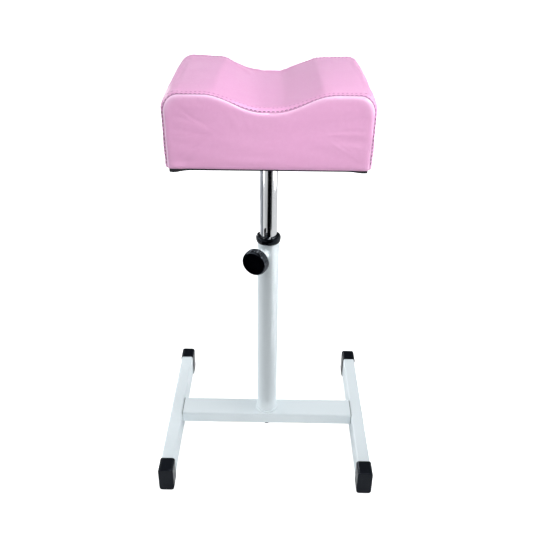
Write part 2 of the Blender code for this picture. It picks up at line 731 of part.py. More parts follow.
def add_dust_cover(turn_pivot):
    """Thin black cloth that closes the underside."""
    outline = rounded_rectangle(
        2 * (SEAM_HALF_AT_FOOT - DUST_COVER_INSET), 2 * (SEAM_DEPTH - DUST_COVER_INSET), BOARD_CORNER
    )
    top = CUSHION_BASE + DUST_COVER_THICKNESS
    cloth = add_object(
        "dust_cover",
        loft([ring(outline, CUSHION_BASE), ring(outline, top)]),
        BLACK_CLOTH,
        parent=turn_pivot,
    )
    hole = WOOD_SCREW_RADIUS + CLEARANCE
    drills = screw_hole_cutter(
        "dust_cover_holes", hole, CUSHION_BASE - OVERRUN, top + OVERRUN, turn_pivot
    )
    cut(cloth, drills)


def valley_share(across):
    """1 on the floor of the valley, 0 on the ridges, and a smooth slope between."""
    run = (abs(across) - VALLEY_FLOOR) / (VALLEY_REACH - VALLEY_FLOOR)
    return 0.5 * (1 + math.cos(math.pi * min(max(run, 0.0), 1.0)))


def seam_path():
    """The cradle's outline in (across, up), from the left fold over ridges and valley to the right fold."""
    fold_centre = (-SEAM_HALF_AT_FOOT + COVER_FOLD, COVER_BASE + COVER_FOLD)
    shoulder_centre = (-SEAM_HALF_AT_SHOULDER + SHOULDER_WIDTH, RIDGE_HEIGHT - SHOULDER_HEIGHT)
    half = arc(fold_centre, (COVER_FOLD, COVER_FOLD), 270, 180, FOLD_STEPS)
    foot = Vector(half[-1])
    shoulder = arc(shoulder_centre, (SHOULDER_WIDTH, SHOULDER_HEIGHT), 180, 90)
    for up in (BOARD_TOP, BOARD_TOP + CROWN_REACH):
        place = foot.lerp(Vector(shoulder[0]), (up - foot.y) / (shoulder[0][1] - foot.y))
        half.append((place.x, place.y))
    half += shoulder
    for step in range(WAVE_STEPS + 1):
        across = -VALLEY_REACH * (1 - step / WAVE_STEPS)
        half.append((across, RIDGE_HEIGHT - VALLEY_DEPTH * valley_share(across)))
    return half + [(-across, up) for across, up in reversed(half[:-1])]


def outward_normals(points):
    """At each point of a path, the way out, as long as moves both runs there by one. Outside is on the left."""
    normals = []
    for i in range(len(points)):
        sides = []
        for near, far in ((i - 1, i), (i, i + 1)):
            if 0 <= near and far < len(points):
                step = Vector(points[far]) - Vector(points[near])
                sides.append(Vector((-step.y, step.x)).normalized())
        bisector = sum(sides, Vector((0, 0))).normalized()
        normals.append(bisector / bisector.dot(sides[0]))
    return normals


def crown(up, share):
    """How far the cover swells past its seams: least at the seams and beside the board."""
    rise = min(max((up - BOARD_TOP) / CROWN_REACH, 0.0), 1.0)
    return CROWN * rise * (1 - abs(share) ** CROWN_POWER)


def swollen_path(points, share, inset):
    """The outline at one station between the seams, swollen by its crown and set in by the cover."""
    path = []
    for (across, up), outward in zip(points, outward_normals(points)):
        reach = crown(up, share) - inset
        path.append((across + outward.x * reach, up + outward.y * reach))
    return path


def surface(rows):
    """An open sheet through rows of points, each row as long as the next."""
    mesh = bmesh.new()
    corners = [[mesh.verts.new(point) for point in row] for row in rows]
    for near, far in zip(corners, corners[1:]):
        for i in range(len(near) - 1):
            mesh.faces.new((near[i], near[i + 1], far[i + 1], far[i]))
    return mesh


def thicken(item):
    """Gives a sheet of cover its thickness, inwards."""
    solidify = item.modifiers.new("thickness", "SOLIDIFY")
    solidify.thickness = COVER_THICKNESS
    solidify.offset = -1
    solidify.use_even_offset = True


def add_cover_band(turn_pivot):
    """One strip over the left side, the ridges and valley and the right side, turned in under the board."""
    seam = seam_path()
    turn_in = -SEAM_HALF_AT_FOOT + COVER_TURN_IN
    rows = []
    for share in BAND_SHARES:
        depth = share * BAND_HALF_DEPTH
        row = [(turn_in, COVER_BASE)] + swollen_path(seam, share, 0) + [(-turn_in, COVER_BASE)]
        rows.append([(across, depth, CUSHION_BASE + up) for across, up in row])
    band = surface(rows)
    band.normal_update()
    widest = max(band.faces, key=lambda face: face.calc_center_median().x)
    if widest.normal.x < 0:
        bmesh.ops.reverse_faces(band, faces=band.faces)
    thicken(add_object("cover_band", band, PINK_LEATHER, parent=turn_pivot))


def end_rings(outline, depth):
    """Rings of a bulged end from its outline inwards, as (ring, depth). Each stands further out than the last."""
    farthest = SEAM_HALF_AT_SHOULDER - RIDGE_HEIGHT / 2
    rings = []
    for share in PANEL_SHARES:
        inset = []
        for across, up in outline:
            middle_across = min(max(across, -farthest), farthest)
            middle_up = (RIDGE_HEIGHT - VALLEY_DEPTH * valley_share(middle_across)) / 2
            inward = Vector((middle_across - across, middle_up - up)) * share * PANEL_EDGE_SHARE
            inset.append((across + inward.x, up + inward.y))
        rings.append((inset, depth + PANEL_BULGE * math.sin(share * math.pi / 2)))
    return rings


def add_end_panels(turn_pivot):
    """Front and rear panels: bulged between their seams, with a strip turned in under the board."""
    for name, turn in (("cover_front_panel", 0), ("cover_rear_panel", math.pi)):
        panel = bmesh.new()
        loops = []
        for outline, depth in end_rings(seam_path(), SEAM_DEPTH):
            loops.append([panel.verts.new((across, -depth, CUSHION_BASE + up)) for across, up in outline])
        for near, far in zip(loops, loops[1:]):
            for i, corner in enumerate(near):
                j = (i + 1) % len(near)
                panel.faces.new((corner, far[i], far[j], near[j]))
        panel.faces.new(loops[-1])
        bmesh.ops.recalc_face_normals(panel, faces=panel.faces)
        if max(panel.faces, key=lambda face: face.calc_area()).normal.y > 0:
            bmesh.ops.reverse_faces(panel, faces=panel.faces)
        add_turn_in(panel, loops[0][0], loops[0][-1])
        item = add_object(name, panel, PINK_LEATHER, rotation=(0, 0, turn), parent=turn_pivot)
        thicken(item)


def add_turn_in(panel, left, right):
    """Splits the panel's lower edge clear of the band's own turn-in, and folds a strip under the board."""
    edge = panel.edges.get((left, right))
    clear = SEAM_HALF_AT_FOOT - COVER_TURN_IN - COVER_THICKNESS
    near, far = sorted(edge.verts, key=lambda corner: corner.co.x)
    span = far.co.x - near.co.x
    _, first = bmesh.utils.edge_split(edge, near, (-clear - near.co.x) / span)
    rest = panel.edges.get((first, far))
    _, second = bmesh.utils.edge_split(rest, first, 2 * clear / (far.co.x - first.co.x))
    inner = [panel.verts.new(corner.co + Vector((0, COVER_TURN_IN, 0))) for corner in (first, second)]
    strip = panel.faces.new((first, inner[0], inner[1], second))
    strip.normal_update()
    if strip.normal.z > 0:
        strip.normal_flip()


def add_foam(turn_pivot):
    """Cut foam block that fills the cover above the board, and bulges a little at both ends."""
    above_board = [point for point in seam_path() if point[1] > FOAM_BASE]
    outline = [(-SEAM_HALF_AT_FOOT, FOAM_BASE)] + above_board + [(SEAM_HALF_AT_FOOT, FOAM_BASE)]
    rings = []
    for share in FOAM_SHARES:
        section = swollen_path(outline, share, COVER_BUILD_UP)
        depth = share * BAND_HALF_DEPTH
        rings.append((section, depth))
    ends = end_rings(rings[0][0], BAND_HALF_DEPTH)[1:]
    stack = [(points, -depth) for points, depth in reversed(ends)] + rings + ends
    solid = loft([[Vector((x, depth, CUSHION_BASE + up)) for x, up in points] for points, depth in stack])
    add_object("foam_block", solid, FOAM, parent=turn_pivot)


def build():
    clear_scene()
    axis = (0, AXIS_Y, 0)
    clamp_origin = (0, AXIS_Y, CLAMP_HEIGHT)

    add_legs()
    add_crossbar()
    add_end_caps()
    add_mast()
    add_mast_foot()
    add_mast_fasteners()
    add_collar()
    add_clamp_boss()

    travel_pivot = add_pivot("clamp_travel", clamp_origin, clamp_rotation())
    knob_pivot = add_pivot("clamp_turn", (0, 0, 0), parent=travel_pivot)
    add_clamp(travel_pivot, knob_pivot)

    slide_pivot = add_pivot("height_slide", axis)
    swivel_pivot = add_pivot("post_swivel", (0, 0, 0), parent=slide_pivot)
    add_glide_bush(slide_pivot)
    add_post(swivel_pivot)
    add_mounting_plate(swivel_pivot)
    add_plate_screws(swivel_pivot)
    add_board(swivel_pivot)
    add_dust_cover(swivel_pivot)
    add_foam(swivel_pivot)
    add_cover_band(swivel_pivot)
    add_end_panels(swivel_pivot)


build()
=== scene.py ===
"""Looks of the pedicure footrest, in metres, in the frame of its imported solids."""

import json
import math

import bmesh
import bpy
import numpy as np
from mathutils import Matrix, Vector, noise


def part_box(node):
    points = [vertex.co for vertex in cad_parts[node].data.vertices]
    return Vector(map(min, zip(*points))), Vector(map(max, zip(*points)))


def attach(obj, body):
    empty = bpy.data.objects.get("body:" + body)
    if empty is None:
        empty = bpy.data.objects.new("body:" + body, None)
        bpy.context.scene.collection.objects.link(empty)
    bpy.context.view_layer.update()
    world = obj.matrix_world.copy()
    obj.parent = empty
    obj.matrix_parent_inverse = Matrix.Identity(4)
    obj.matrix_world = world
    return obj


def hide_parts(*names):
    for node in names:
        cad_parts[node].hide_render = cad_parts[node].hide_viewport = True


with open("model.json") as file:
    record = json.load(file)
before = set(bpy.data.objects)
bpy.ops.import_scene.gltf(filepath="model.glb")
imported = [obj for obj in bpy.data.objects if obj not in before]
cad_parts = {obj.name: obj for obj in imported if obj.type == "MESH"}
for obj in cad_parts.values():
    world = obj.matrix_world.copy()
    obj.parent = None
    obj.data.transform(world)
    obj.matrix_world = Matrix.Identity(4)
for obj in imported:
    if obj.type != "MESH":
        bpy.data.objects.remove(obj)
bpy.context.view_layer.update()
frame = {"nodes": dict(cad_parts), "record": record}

MM = 0.001
AXIS_Y = -0.005
IMAGE_WIDTH = 533
MICRONS = 1e6
CLAMP_ANGLE = 26.0
CLAMP_HEIGHT = 0.3439
KNOB_FACE = 47.0
MAST_RADIUS = 16.0
BOSS_RADIUS = 9.0
SCREW_RADIUS = 4.0
SCREW_PITCH = 1.25
SCREW_ENDS = (15.9, 37.9)
THREAD_DEPTH = 0.62
HEAD_FLATS = 13.0
HEAD_ENDS = (37.7, 43.0)
HEAD_CHAMFER = 0.5

# Camera, fitted to the photograph
FOCAL_PIXELS = 658.6
CAMERA_PLACE = (0.00823, -0.85704, 0.80848)
CAMERA_PITCH = 0.52402
CAMERA_YAW = -0.01249
CAMERA_ROLL = 0.0081

# Cushion: sizes in millimetres above its underside and from its middle, as in the solids
CUSHION_BASE = 0.508
COVER_BASE = 1.1
HALF_DEPTH = 100.0
SIDE_AT_FOOT = 122.3
SIDE_AT_SHOULDER = 123.5
RIDGE = 93.0
VALLEY = 21.0
VALLEY_FLOOR = 6.0
VALLEY_REACH = 78.0
SHOULDER = (18.0, 20.0)
FOLD = 2.2
CROWN = 1.6
BOARD_TOP = 14.4
SIDE_MIDDLE = 38.0
FOAM_DEPTH = 0.985
FINE_REACH = 110
FINE_STEPS = 441
HALF_STEPS = 200
MIDDLE_REACH = 77.0
STITCH_LINE = 6.0
ROLL = (2.8, 4.4)
GROOVE = 0.9
# Painted shade in the seam groove: how much darker the leather's colour is made on the first rings beside
# each end seam
SEAM_SHADE = (1.0, 0.8, 0.3)
# Painted highlight along each panel's rolled edge: how much lighter, by distance from the seam, on the top
# (ROLL_SHINE) and on the sides (SIDE_SHINE)
ROLL_SHINE = (
    (0.0, 0.0), (0.8, 0.15), (1.5, 0.85), (2.3, 1.0), (3.3, 0.55), (4.6, 0.22), (7.0, 0.05), (9.0, 0.0),
)
SIDE_SHINE = ((0.9, 0.0), (1.3, 1.8), (2.1, 2.0), (3.0, 0.25), (3.6, 0.0))
REAR_VALLEY = (
    (-78, 0.0), (-63, 1.0), (-50, 8.8), (-36, 16.8), (-24, 20.8), (-10, 22.9), (6, 23.3), (16, 22.9),
    (24, 20.0), (40, 10.8), (52, 5.4), (62, 1.4), (78, 0.0),
)
REAR_SHOULDERS = (4.0, 2.2)
REAR_WIDER = 1.4
PANEL_BULGE = 3.2
PANEL_WRINKLES = ((0.60, 46.0, 8.5, 0.0, 3.0), (0.45, 70.0, 45.0, 0.0, 9.0), (0.34, 30.0, 3.6, 7.0, 6.0))
CLOTH_COLUMNS = 2
CLOTH_FRAMES = 20
CLOTH_SPACING = 2.8
CLOTH_LIMIT = 1.6
CLOTH_SETTINGS = {
    "quality": 6,
    "vertex_group_mass": "held",
    "mass": 0.25,
    "tension_stiffness": 30,
    "compression_stiffness": 12,
    "shear_stiffness": 8,
    "bending_stiffness": 0.6,
    "shrink_min": -0.004,
    "use_pressure": True,
    "uniform_pressure_force": 4.0,
}
HELD_BELOW = 8.0
HELD_NEAR_SEAM = 0.7
PANEL_GIVE = 0.4

# Dust cloth, in millimetres
CLOTH_HALF_X = 120.9
CLOTH_HALF_Y = 98.4
CLOTH_GRID = (96, 80)

# Rings over the cushion: how far in from the outline, and how far out past the seam's plane
SEWN_RINGS = (
    (0.95, -0.75), (0.60, -0.35), (0.50, 0.15), (0.75, 0.80), (1.40, 1.55), (2.3, 2.15),
    (3.5, 2.60), (5.3, 2.92), (7.8, 3.08), (11.0, 3.15), (15.5, 3.15), (21.0, 3.15),
    (27.0, 3.15), (33.0, 3.2), (39.5, 3.2), (46.0, 3.2),
)
FOLDED_RINGS = (
    (0.0, -2.2), (0.15, -1.2), (0.5, -0.45), (1.2, 0.50), (2.0, 1.15), (3.2, 1.75),
    (4.8, 2.3), (6.8, 2.7), (9.2, 2.95), (12.5, 3.1), (16.0, 3.15), (21.0, 3.15),
    (27.0, 3.15), (33.0, 3.2), (39.5, 3.2), (46.0, 3.2),
)
BAND_STEPS = (0.3, 0.7, 1.2, 1.9, 2.7, 3.5, 4.2, 4.7, 5.0, 5.3, 5.8, 6.8, 8.5, 11.0, 14.0, 17.5, 21.5, 26.0)
BAND_STEP = 4.0

# How bright the studio's surroundings are
WORLD_SIDES = 1.35
WORLD_TOP = 0.60
WORLD_DARK = 0.10
WORLD_SEEN = 1.15
FLOOR_SEEN = 0.85
BLACK = (0.002, 0.002, 0.002)
DARK = (0.002, 0.002, 0.003)
GREY = (0.40, 0.42, 0.46)


# Materials


def joined(tree, operation, *values):
    node = tree.nodes.new("ShaderNodeMath")
    node.operation = operation
    for value, socket in zip(values, node.inputs):
        tree.links.new(value, socket)
    return node.outputs["Value"]


def ranged(tree, value, source, target):
    node = tree.nodes.new("ShaderNodeMapRange")
    node.inputs["From Min"].default_value, node.inputs["From Max"].default_value = source
    node.inputs["To Min"].default_value, node.inputs["To Max"].default_value = target
    tree.links.new(value, node.inputs["Value"])
    return node.outputs["Result"]


class Finish:
    """A Principled material with helpers that add procedural detail to it."""

    def __init__(self, name, colour, roughness, metallic=0.0, **sockets):
        self.material = bpy.data.materials.new(name)
        self.material.use_nodes = True
        self.tree = self.material.node_tree
        self.shader = self.tree.nodes["Principled BSDF"]
        self.shader.inputs["Base Color"].default_value = (*colour, 1.0)
        self.shader.inputs["Roughness"].default_value = roughness
        self.shader.inputs["Metallic"].default_value = metallic
        for socket, value in sockets.items():
            self.shader.inputs[socket.replace("_", " ")].default_value = value
        self.place = self.add("ShaderNodeTexCoord").outputs["Object"]
        self.height = None

    def add(self, kind, **settings):
        node = self.tree.nodes.new(kind)
        for key, value in settings.items():
            setattr(node, key, value)
        return node

    def link(self, source, target):
        self.tree.links.new(source, target)

    def stretched(self, scale):
        mapping = self.add("ShaderNodeMapping")
        mapping.inputs["Scale"].default_value = scale
        self.link(self.place, mapping.inputs["Vector"])
        return mapping.outputs["Vector"]

    def noise(self, scale, detail=3.0, stretch=(1, 1, 1), roughness=0.5):
        texture = self.add("ShaderNodeTexNoise")
        texture.inputs["Scale"].default_value = scale
        texture.inputs["Detail"].default_value = detail
        texture.inputs["Roughness"].default_value = roughness
        self.link(self.stretched(stretch), texture.inputs["Vector"])
        return texture.outputs["Fac"]

    def cells(self, scale, feature="DISTANCE_TO_EDGE"):
        texture = self.add("ShaderNodeTexVoronoi", feature=feature)
        texture.inputs["Scale"].default_value = scale
        self.link(self.place, texture.inputs["Vector"])
        return texture.outputs["Distance"]

    def ranged(self, value, low, high, from_low=0.0, from_high=1.0):
        return ranged(self.tree, value, (from_low, from_high), (low, high))

    def attribute(self, name):
        return self.add("ShaderNodeAttribute", attribute_name=name).outputs["Fac"]

    def tint(self, share, colour):
        """Mixes another colour over what the base colour is so far."""
        mix = self.add("ShaderNodeMix", data_type="RGBA")
        base = self.shader.inputs["Base Color"]
        if base.is_linked:
            self.link(base.links[0].from_socket, mix.inputs["A"])
        else:
            mix.inputs["A"].default_value = base.default_value
        mix.inputs["B"].default_value = (*colour, 1.0)
        self.link(share, mix.inputs["Factor"])
        self.link(mix.outputs["Result"], base)

    def vary_roughness(self, share, low, high):
        self.link(self.ranged(share, low, high, 0.3, 0.7), self.shader.inputs["Roughness"])

    def bump(self, height, distance, strength=1.0):
        node = self.add("ShaderNodeBump")
        node.inputs["Distance"].default_value = distance
        node.inputs["Strength"].default_value = strength
        self.link(height, node.inputs["Height"])
        if self.height:
            self.link(self.height, node.inputs["Normal"])
        self.height = node.outputs["Normal"]
        self.link(self.height, self.shader.inputs["Normal"])


def powder_coat(name, colour):
    coat = Finish(name, colour, 0.34, Specular_IOR_Level=0.5)
    coat.tint(coat.ranged(coat.noise(7.0, 2.0), 0.0, 0.10, 0.35, 0.7), tuple(0.9 * c for c in colour))
    coat.vary_roughness(coat.noise(60.0), 0.29, 0.38)
    coat.bump(coat.noise(700.0, 2.0), 0.00006, 0.5)
    return coat.material


def chrome():
    metal = Finish("chrome_plate", (0.84, 0.845, 0.855), 0.06, 1.0)
    metal.vary_roughness(metal.noise(160.0, 4.0, (1, 1, 0.05)), 0.035, 0.085)
    metal.bump(metal.noise(900.0, 2.0, (1, 1, 0.02)), 0.000004, 0.4)
    return metal.material


def zinc():
    metal = Finish("zinc_plate", (0.62, 0.64, 0.66), 0.33, 1.0)
    metal.tint(metal.ranged(metal.noise(90.0), 0.0, 0.35, 0.4, 0.7), (0.50, 0.50, 0.46))
    metal.vary_roughness(metal.noise(400.0), 0.26, 0.42)
    metal.bump(metal.noise(1500.0, 3.0), 0.00003, 0.5)
    return metal.material


def moulded(name, colour, roughness, grain, depth, level=0.5):
    tint = (0.72, 0.84, 1.0, 1.0)
    plastic = Finish(name, colour, roughness, Specular_IOR_Level=level, Specular_Tint=tint)
    lighter = tuple(min(1.0, c * 1.35 + 0.002) for c in colour)
    plastic.tint(plastic.ranged(plastic.noise(45.0), 0.0, 0.5, 0.45, 0.75), lighter)
    plastic.vary_roughness(plastic.noise(120.0), roughness * 0.85, roughness * 1.2)
    plastic.bump(plastic.noise(grain, 3.0), depth, 0.6)
    return plastic.material


def leather():
    """Artificial leather: pebbled grain, soft wrinkles, a little sheen, painted shade as a darker line in the
    seams, and a painted highlight along the panels' rolled edges beside them.
    """
    sheen = {"Sheen_Weight": 0.25, "Sheen_Roughness": 0.3, "Sheen_Tint": (1.0, 0.85, 0.95, 1.0)}
    skin = Finish("pink_artificial_leather", (0.715, 0.365, 0.585), 0.40, Specular_IOR_Level=0.42, **sheen)
    skin.tint(skin.ranged(skin.noise(9.0, 4.0), 0.0, 0.22, 0.4, 0.72), (0.76, 0.35, 0.61))
    skin.tint(skin.ranged(skin.noise(220.0, 2.0), 0.0, 0.10, 0.45, 0.8), (0.88, 0.49, 0.76))
    pores = skin.cells(1150.0)
    skin.tint(skin.ranged(pores, 0.22, 0.0, 0.0, 0.10), (0.70, 0.28, 0.52))
    # Painted highlight: a lighter colour along the panels' rolled edges beside the seams, whiter where it is
    # strongest
    skin.tint(skin.ranged(skin.attribute("shine"), 0.0, 0.75), (0.98, 0.74, 0.93))
    skin.tint(skin.ranged(skin.attribute("shine"), 0.0, 0.95, 1.0, 2.0), (1.0, 0.93, 0.99))
    # Painted shade: a darker colour in the seam groove
    skin.tint(skin.attribute("seam"), (0.30, 0.10, 0.23))
    skin.vary_roughness(skin.noise(260.0), 0.36, 0.46)
    skin.bump(skin.noise(26.0, 3.0, (0.55, 1.0, 2.4)), 0.0009, 0.7)
    skin.bump(skin.ranged(pores, 0.0, 1.0, 0.0, 0.16), 0.00009, 0.8)
    skin.bump(skin.noise(3000.0, 2.0), 0.00003, 0.5)
    return skin.material


def thread_finish(name, colour):
    thread = Finish(name, colour, 0.6)
    shaded = tuple(0.65 * c for c in colour)
    thread.tint(thread.ranged(thread.noise(2200.0, 2.0), 0.0, 0.6, 0.4, 0.7), shaded)
    thread.bump(thread.noise(4000.0, 2.0), 0.00006, 0.8)
    return thread.material


def spun_cloth():
    """Thin black cloth of bonded fibres, embossed with a grid of small points."""
    cloth = Finish("black_cloth", (0.014, 0.014, 0.016), 0.88, Specular_IOR_Level=0.3)
    cloth.tint(cloth.ranged(cloth.noise(1400.0, 3.0), 0.0, 0.7, 0.45, 0.75), (0.045, 0.045, 0.05))
    cloth.bump(cloth.cells(520.0, "F1"), 0.00012, 0.8)
    cloth.bump(cloth.noise(40.0), 0.0006, 0.4)
    return cloth.material


def plywood():
    wood = Finish("plywood", (0.60, 0.42, 0.24), 0.65)
    wood.tint(wood.ranged(wood.noise(14.0, 5.0, (1, 9, 9)), 0.0, 0.8, 0.4, 0.7), (0.42, 0.26, 0.13))
    ply = wood.add("ShaderNodeTexWave", bands_direction="Z")
    ply.inputs["Scale"].default_value = 130.0
    wood.link(wood.place, ply.inputs["Vector"])
    wood.tint(wood.ranged(ply.outputs["Fac"], 0.0, 0.3), (0.34, 0.20, 0.10))
    wood.bump(wood.noise(60.0, 6.0, (1, 12, 12)), 0.0002, 0.6)
    return wood.material


def foam():
    block = Finish("cushion_foam", (0.86, 0.80, 0.62), 0.95)
    block.bump(block.cells(900.0, "F1"), 0.0005, 1.0)
    block.tint(block.ranged(block.noise(300.0), 0.0, 0.5, 0.4, 0.7), (0.76, 0.68, 0.48))
    return block.material


white = powder_coat("white_powder_coat", (0.86, 0.93, 0.96))
steel = zinc()
rubber = moulded("black_rubber", (0.0018, 0.0024, 0.005), 0.20, 900.0, 0.00005, 0.22)
gloss = moulded("black_gloss_plastic", (0.0005, 0.0007, 0.0018), 0.07, 600.0, 0.00001, 0.28)
knob_plastic = moulded("black_knob_plastic", (0.0005, 0.0007, 0.0020), 0.06, 700.0, 0.00001, 0.70)
matte = moulded("black_matte_plastic", (0.006, 0.006, 0.007), 0.55, 900.0, 0.00006, 0.08)
nylon = moulded("white_nylon", (0.80, 0.79, 0.74), 0.42, 500.0, 0.00004)
dark_paint = powder_coat("black_painted_steel", (0.022, 0.022, 0.024))
skin = leather()
thread = thread_finish("sewing_thread", (0.50, 0.21, 0.40))
dark_thread = thread_finish("seam_thread", (0.045, 0.010, 0.035))
cloth = spun_cloth()
# Painted shadow: a dark paint for the thin tubes that stand in for the shade in the crossbar's end gaps
painted_gap_shadow = powder_coat("joint_shadow", (0.20, 0.22, 0.23))

FINISHES = {
    "white_powder_coat": white,
    "black_rubber": rubber,
    "zinc_plated_steel": steel,
    "black_gloss_plastic": gloss,
    "black_matte_plastic": matte,
    "white_nylon": nylon,
    "chrome_plated_steel": chrome(),
    "black_painted_steel": dark_paint,
    "plywood": plywood(),
    "cushion_foam": foam(),
    "pink_artificial_leather": skin,
    "black_cloth": cloth,
}


def dress(item, material):
    item.data.materials.clear()
    item.data.materials.append(material)


def dress_frame():
    for part in frame["record"]["subparts"]:
        dress(frame["nodes"][part["node"]], FINISHES[part["material_slot"]])
    dress(frame["nodes"]["clamp_knob"], knob_plastic)


# Meshes


def new_object(name, data):
    item = bpy.data.objects.new(name, data)
    bpy.context.collection.objects.link(item)
    return item


def add_mesh(name, points, faces, material, sharp=None):
    """An object from points and faces, smooth except at edges past the sharp angle, in degrees."""
    mesh = bpy.data.meshes.new(name)
    mesh.from_pydata([tuple(point) for point in points], [], [tuple(face) for face in faces])
    mesh.validate()
    shape = bmesh.new()
    shape.from_mesh(mesh)
    bmesh.ops.remove_doubles(shape, verts=shape.verts, dist=1 / MICRONS)
    bmesh.ops.recalc_face_normals(shape, faces=shape.faces)
    shape.to_mesh(mesh)
    shape.free()
    mesh.shade_smooth()
    if sharp:
        mesh.set_sharp_from_angle(angle=math.radians(sharp))
    item = new_object(name, mesh)
    mesh.materials.append(material)
    return item


def belongs(item, body):
    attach(item, body)


def side_faces(rings, sides):
    """The faces between rings of points that follow each other in one list."""
    faces = []
    for ring in range(rings - 1):
        a = ring * sides
        for i in range(sides):
            n = (i + 1) % sides
            faces.append((a + i, a + n, a + sides + n, a + sides + i))
    return faces


def closed_faces(rings, sides):
    """The same, with both ends closed."""
    ends = [tuple(range(sides))[::-1], tuple(range((rings - 1) * sides, rings * sides))]
    return ends + side_faces(rings, sides)


def around(radius, turn):
    return radius * math.cos(turn), radius * math.sin(turn)


def turns(count):
    return [math.tau * i / count for i in range(count)]


def smooth_step(value, low, high):
    share = np.clip((np.asarray(value, float) - low) / (high - low), 0.0, 1.0)
    return share * share * (3 - 2 * share)


def resample(points, count):
    """Points at equal steps along a path."""
    points = np.asarray(points, float)
    lengths = np.r_[0, np.cumsum(np.linalg.norm(np.diff(points, axis=0), axis=1))]
    places = np.linspace(0, lengths[-1], count)
    return np.stack([np.interp(places, lengths, points[:, i]) for i in range(2)], axis=1)


def arc(centre, radii, start, end, steps=40):
    turn = np.radians(np.linspace(start, end, steps + 1))
    return [(centre[0] + radii[0] * math.cos(a), centre[1] + radii[1] * math.sin(a)) for a in turn]


def seam_height(across):
    run = np.clip((np.abs(across) - VALLEY_FLOOR) / (VALLEY_REACH - VALLEY_FLOOR), 0, 1)
    return RIDGE - VALLEY * 0.5 * (1 + np.cos(np.pi * run))


def foam_height(across):
    """Between the seams: a flatter floor, straight slopes and a soft crease at each ridge."""
    reach = np.linspace(0, FINE_REACH, FINE_STEPS)
    slope = smooth_step(reach, 2, 36) * (1 - smooth_step(reach, 62, 68))
    rise = np.r_[0, np.cumsum((slope[1:] + slope[:-1]) / 2)]
    return RIDGE - VALLEY * FOAM_DEPTH * (1 - np.interp(np.abs(across), reach, rise / rise[-1]))


def rear_height(across):
    """At the rear the valley is a little deeper, and steeper on its left side."""
    places, drops = zip(*REAR_VALLEY)
    fine = np.linspace(-FINE_REACH, FINE_REACH, FINE_STEPS)
    drop = np.convolve(np.interp(fine, places, drops), np.ones(13) / 13, "same")
    return RIDGE - np.interp(across, fine, drop)


def outline():
    """The seam's outline as a closed loop of (across, up), left side first and then round by the top."""
    shoulder = (-SIDE_AT_SHOULDER + SHOULDER[0], RIDGE - SHOULDER[1])
    fold = (-SIDE_AT_FOOT + FOLD, COVER_BASE + FOLD)
    across = np.linspace(shoulder[0], 0, 160)
    side_at_middle = -np.interp(SIDE_MIDDLE, (fold[1], shoulder[1]), (SIDE_AT_FOOT, SIDE_AT_SHOULDER))
    top = [(side_at_middle, SIDE_MIDDLE)] + arc(shoulder, SHOULDER, 180, 90)
    top += list(zip(across, seam_height(across)))[1:]
    top += [(-x, up) for x, up in reversed(top[:-1])]
    foot = [(side_at_middle, SIDE_MIDDLE)] + arc(fold, (FOLD, FOLD), 180, 270, 12)
    foot += [(0, COVER_BASE)]
    foot += [(-x, up) for x, up in reversed(foot[:-1])]
    return resample(top, HALF_STEPS + 1), resample(foot, HALF_STEPS + 1)


def loop_normals(loop):
    along = np.roll(loop, -1, axis=0) - np.roll(loop, 1, axis=0)
    normal = np.stack([-along[:, 1], along[:, 0]], axis=1)
    return normal / np.linalg.norm(normal, axis=1, keepdims=True)


def wave(place, seed):
    return noise.noise(Vector((place[0], place[1], seed)))


def seam_gap(way):
    """How far a place along the cover is from the nearer end seam."""
    return min(abs(way), abs(way - 2 * HALF_DEPTH))


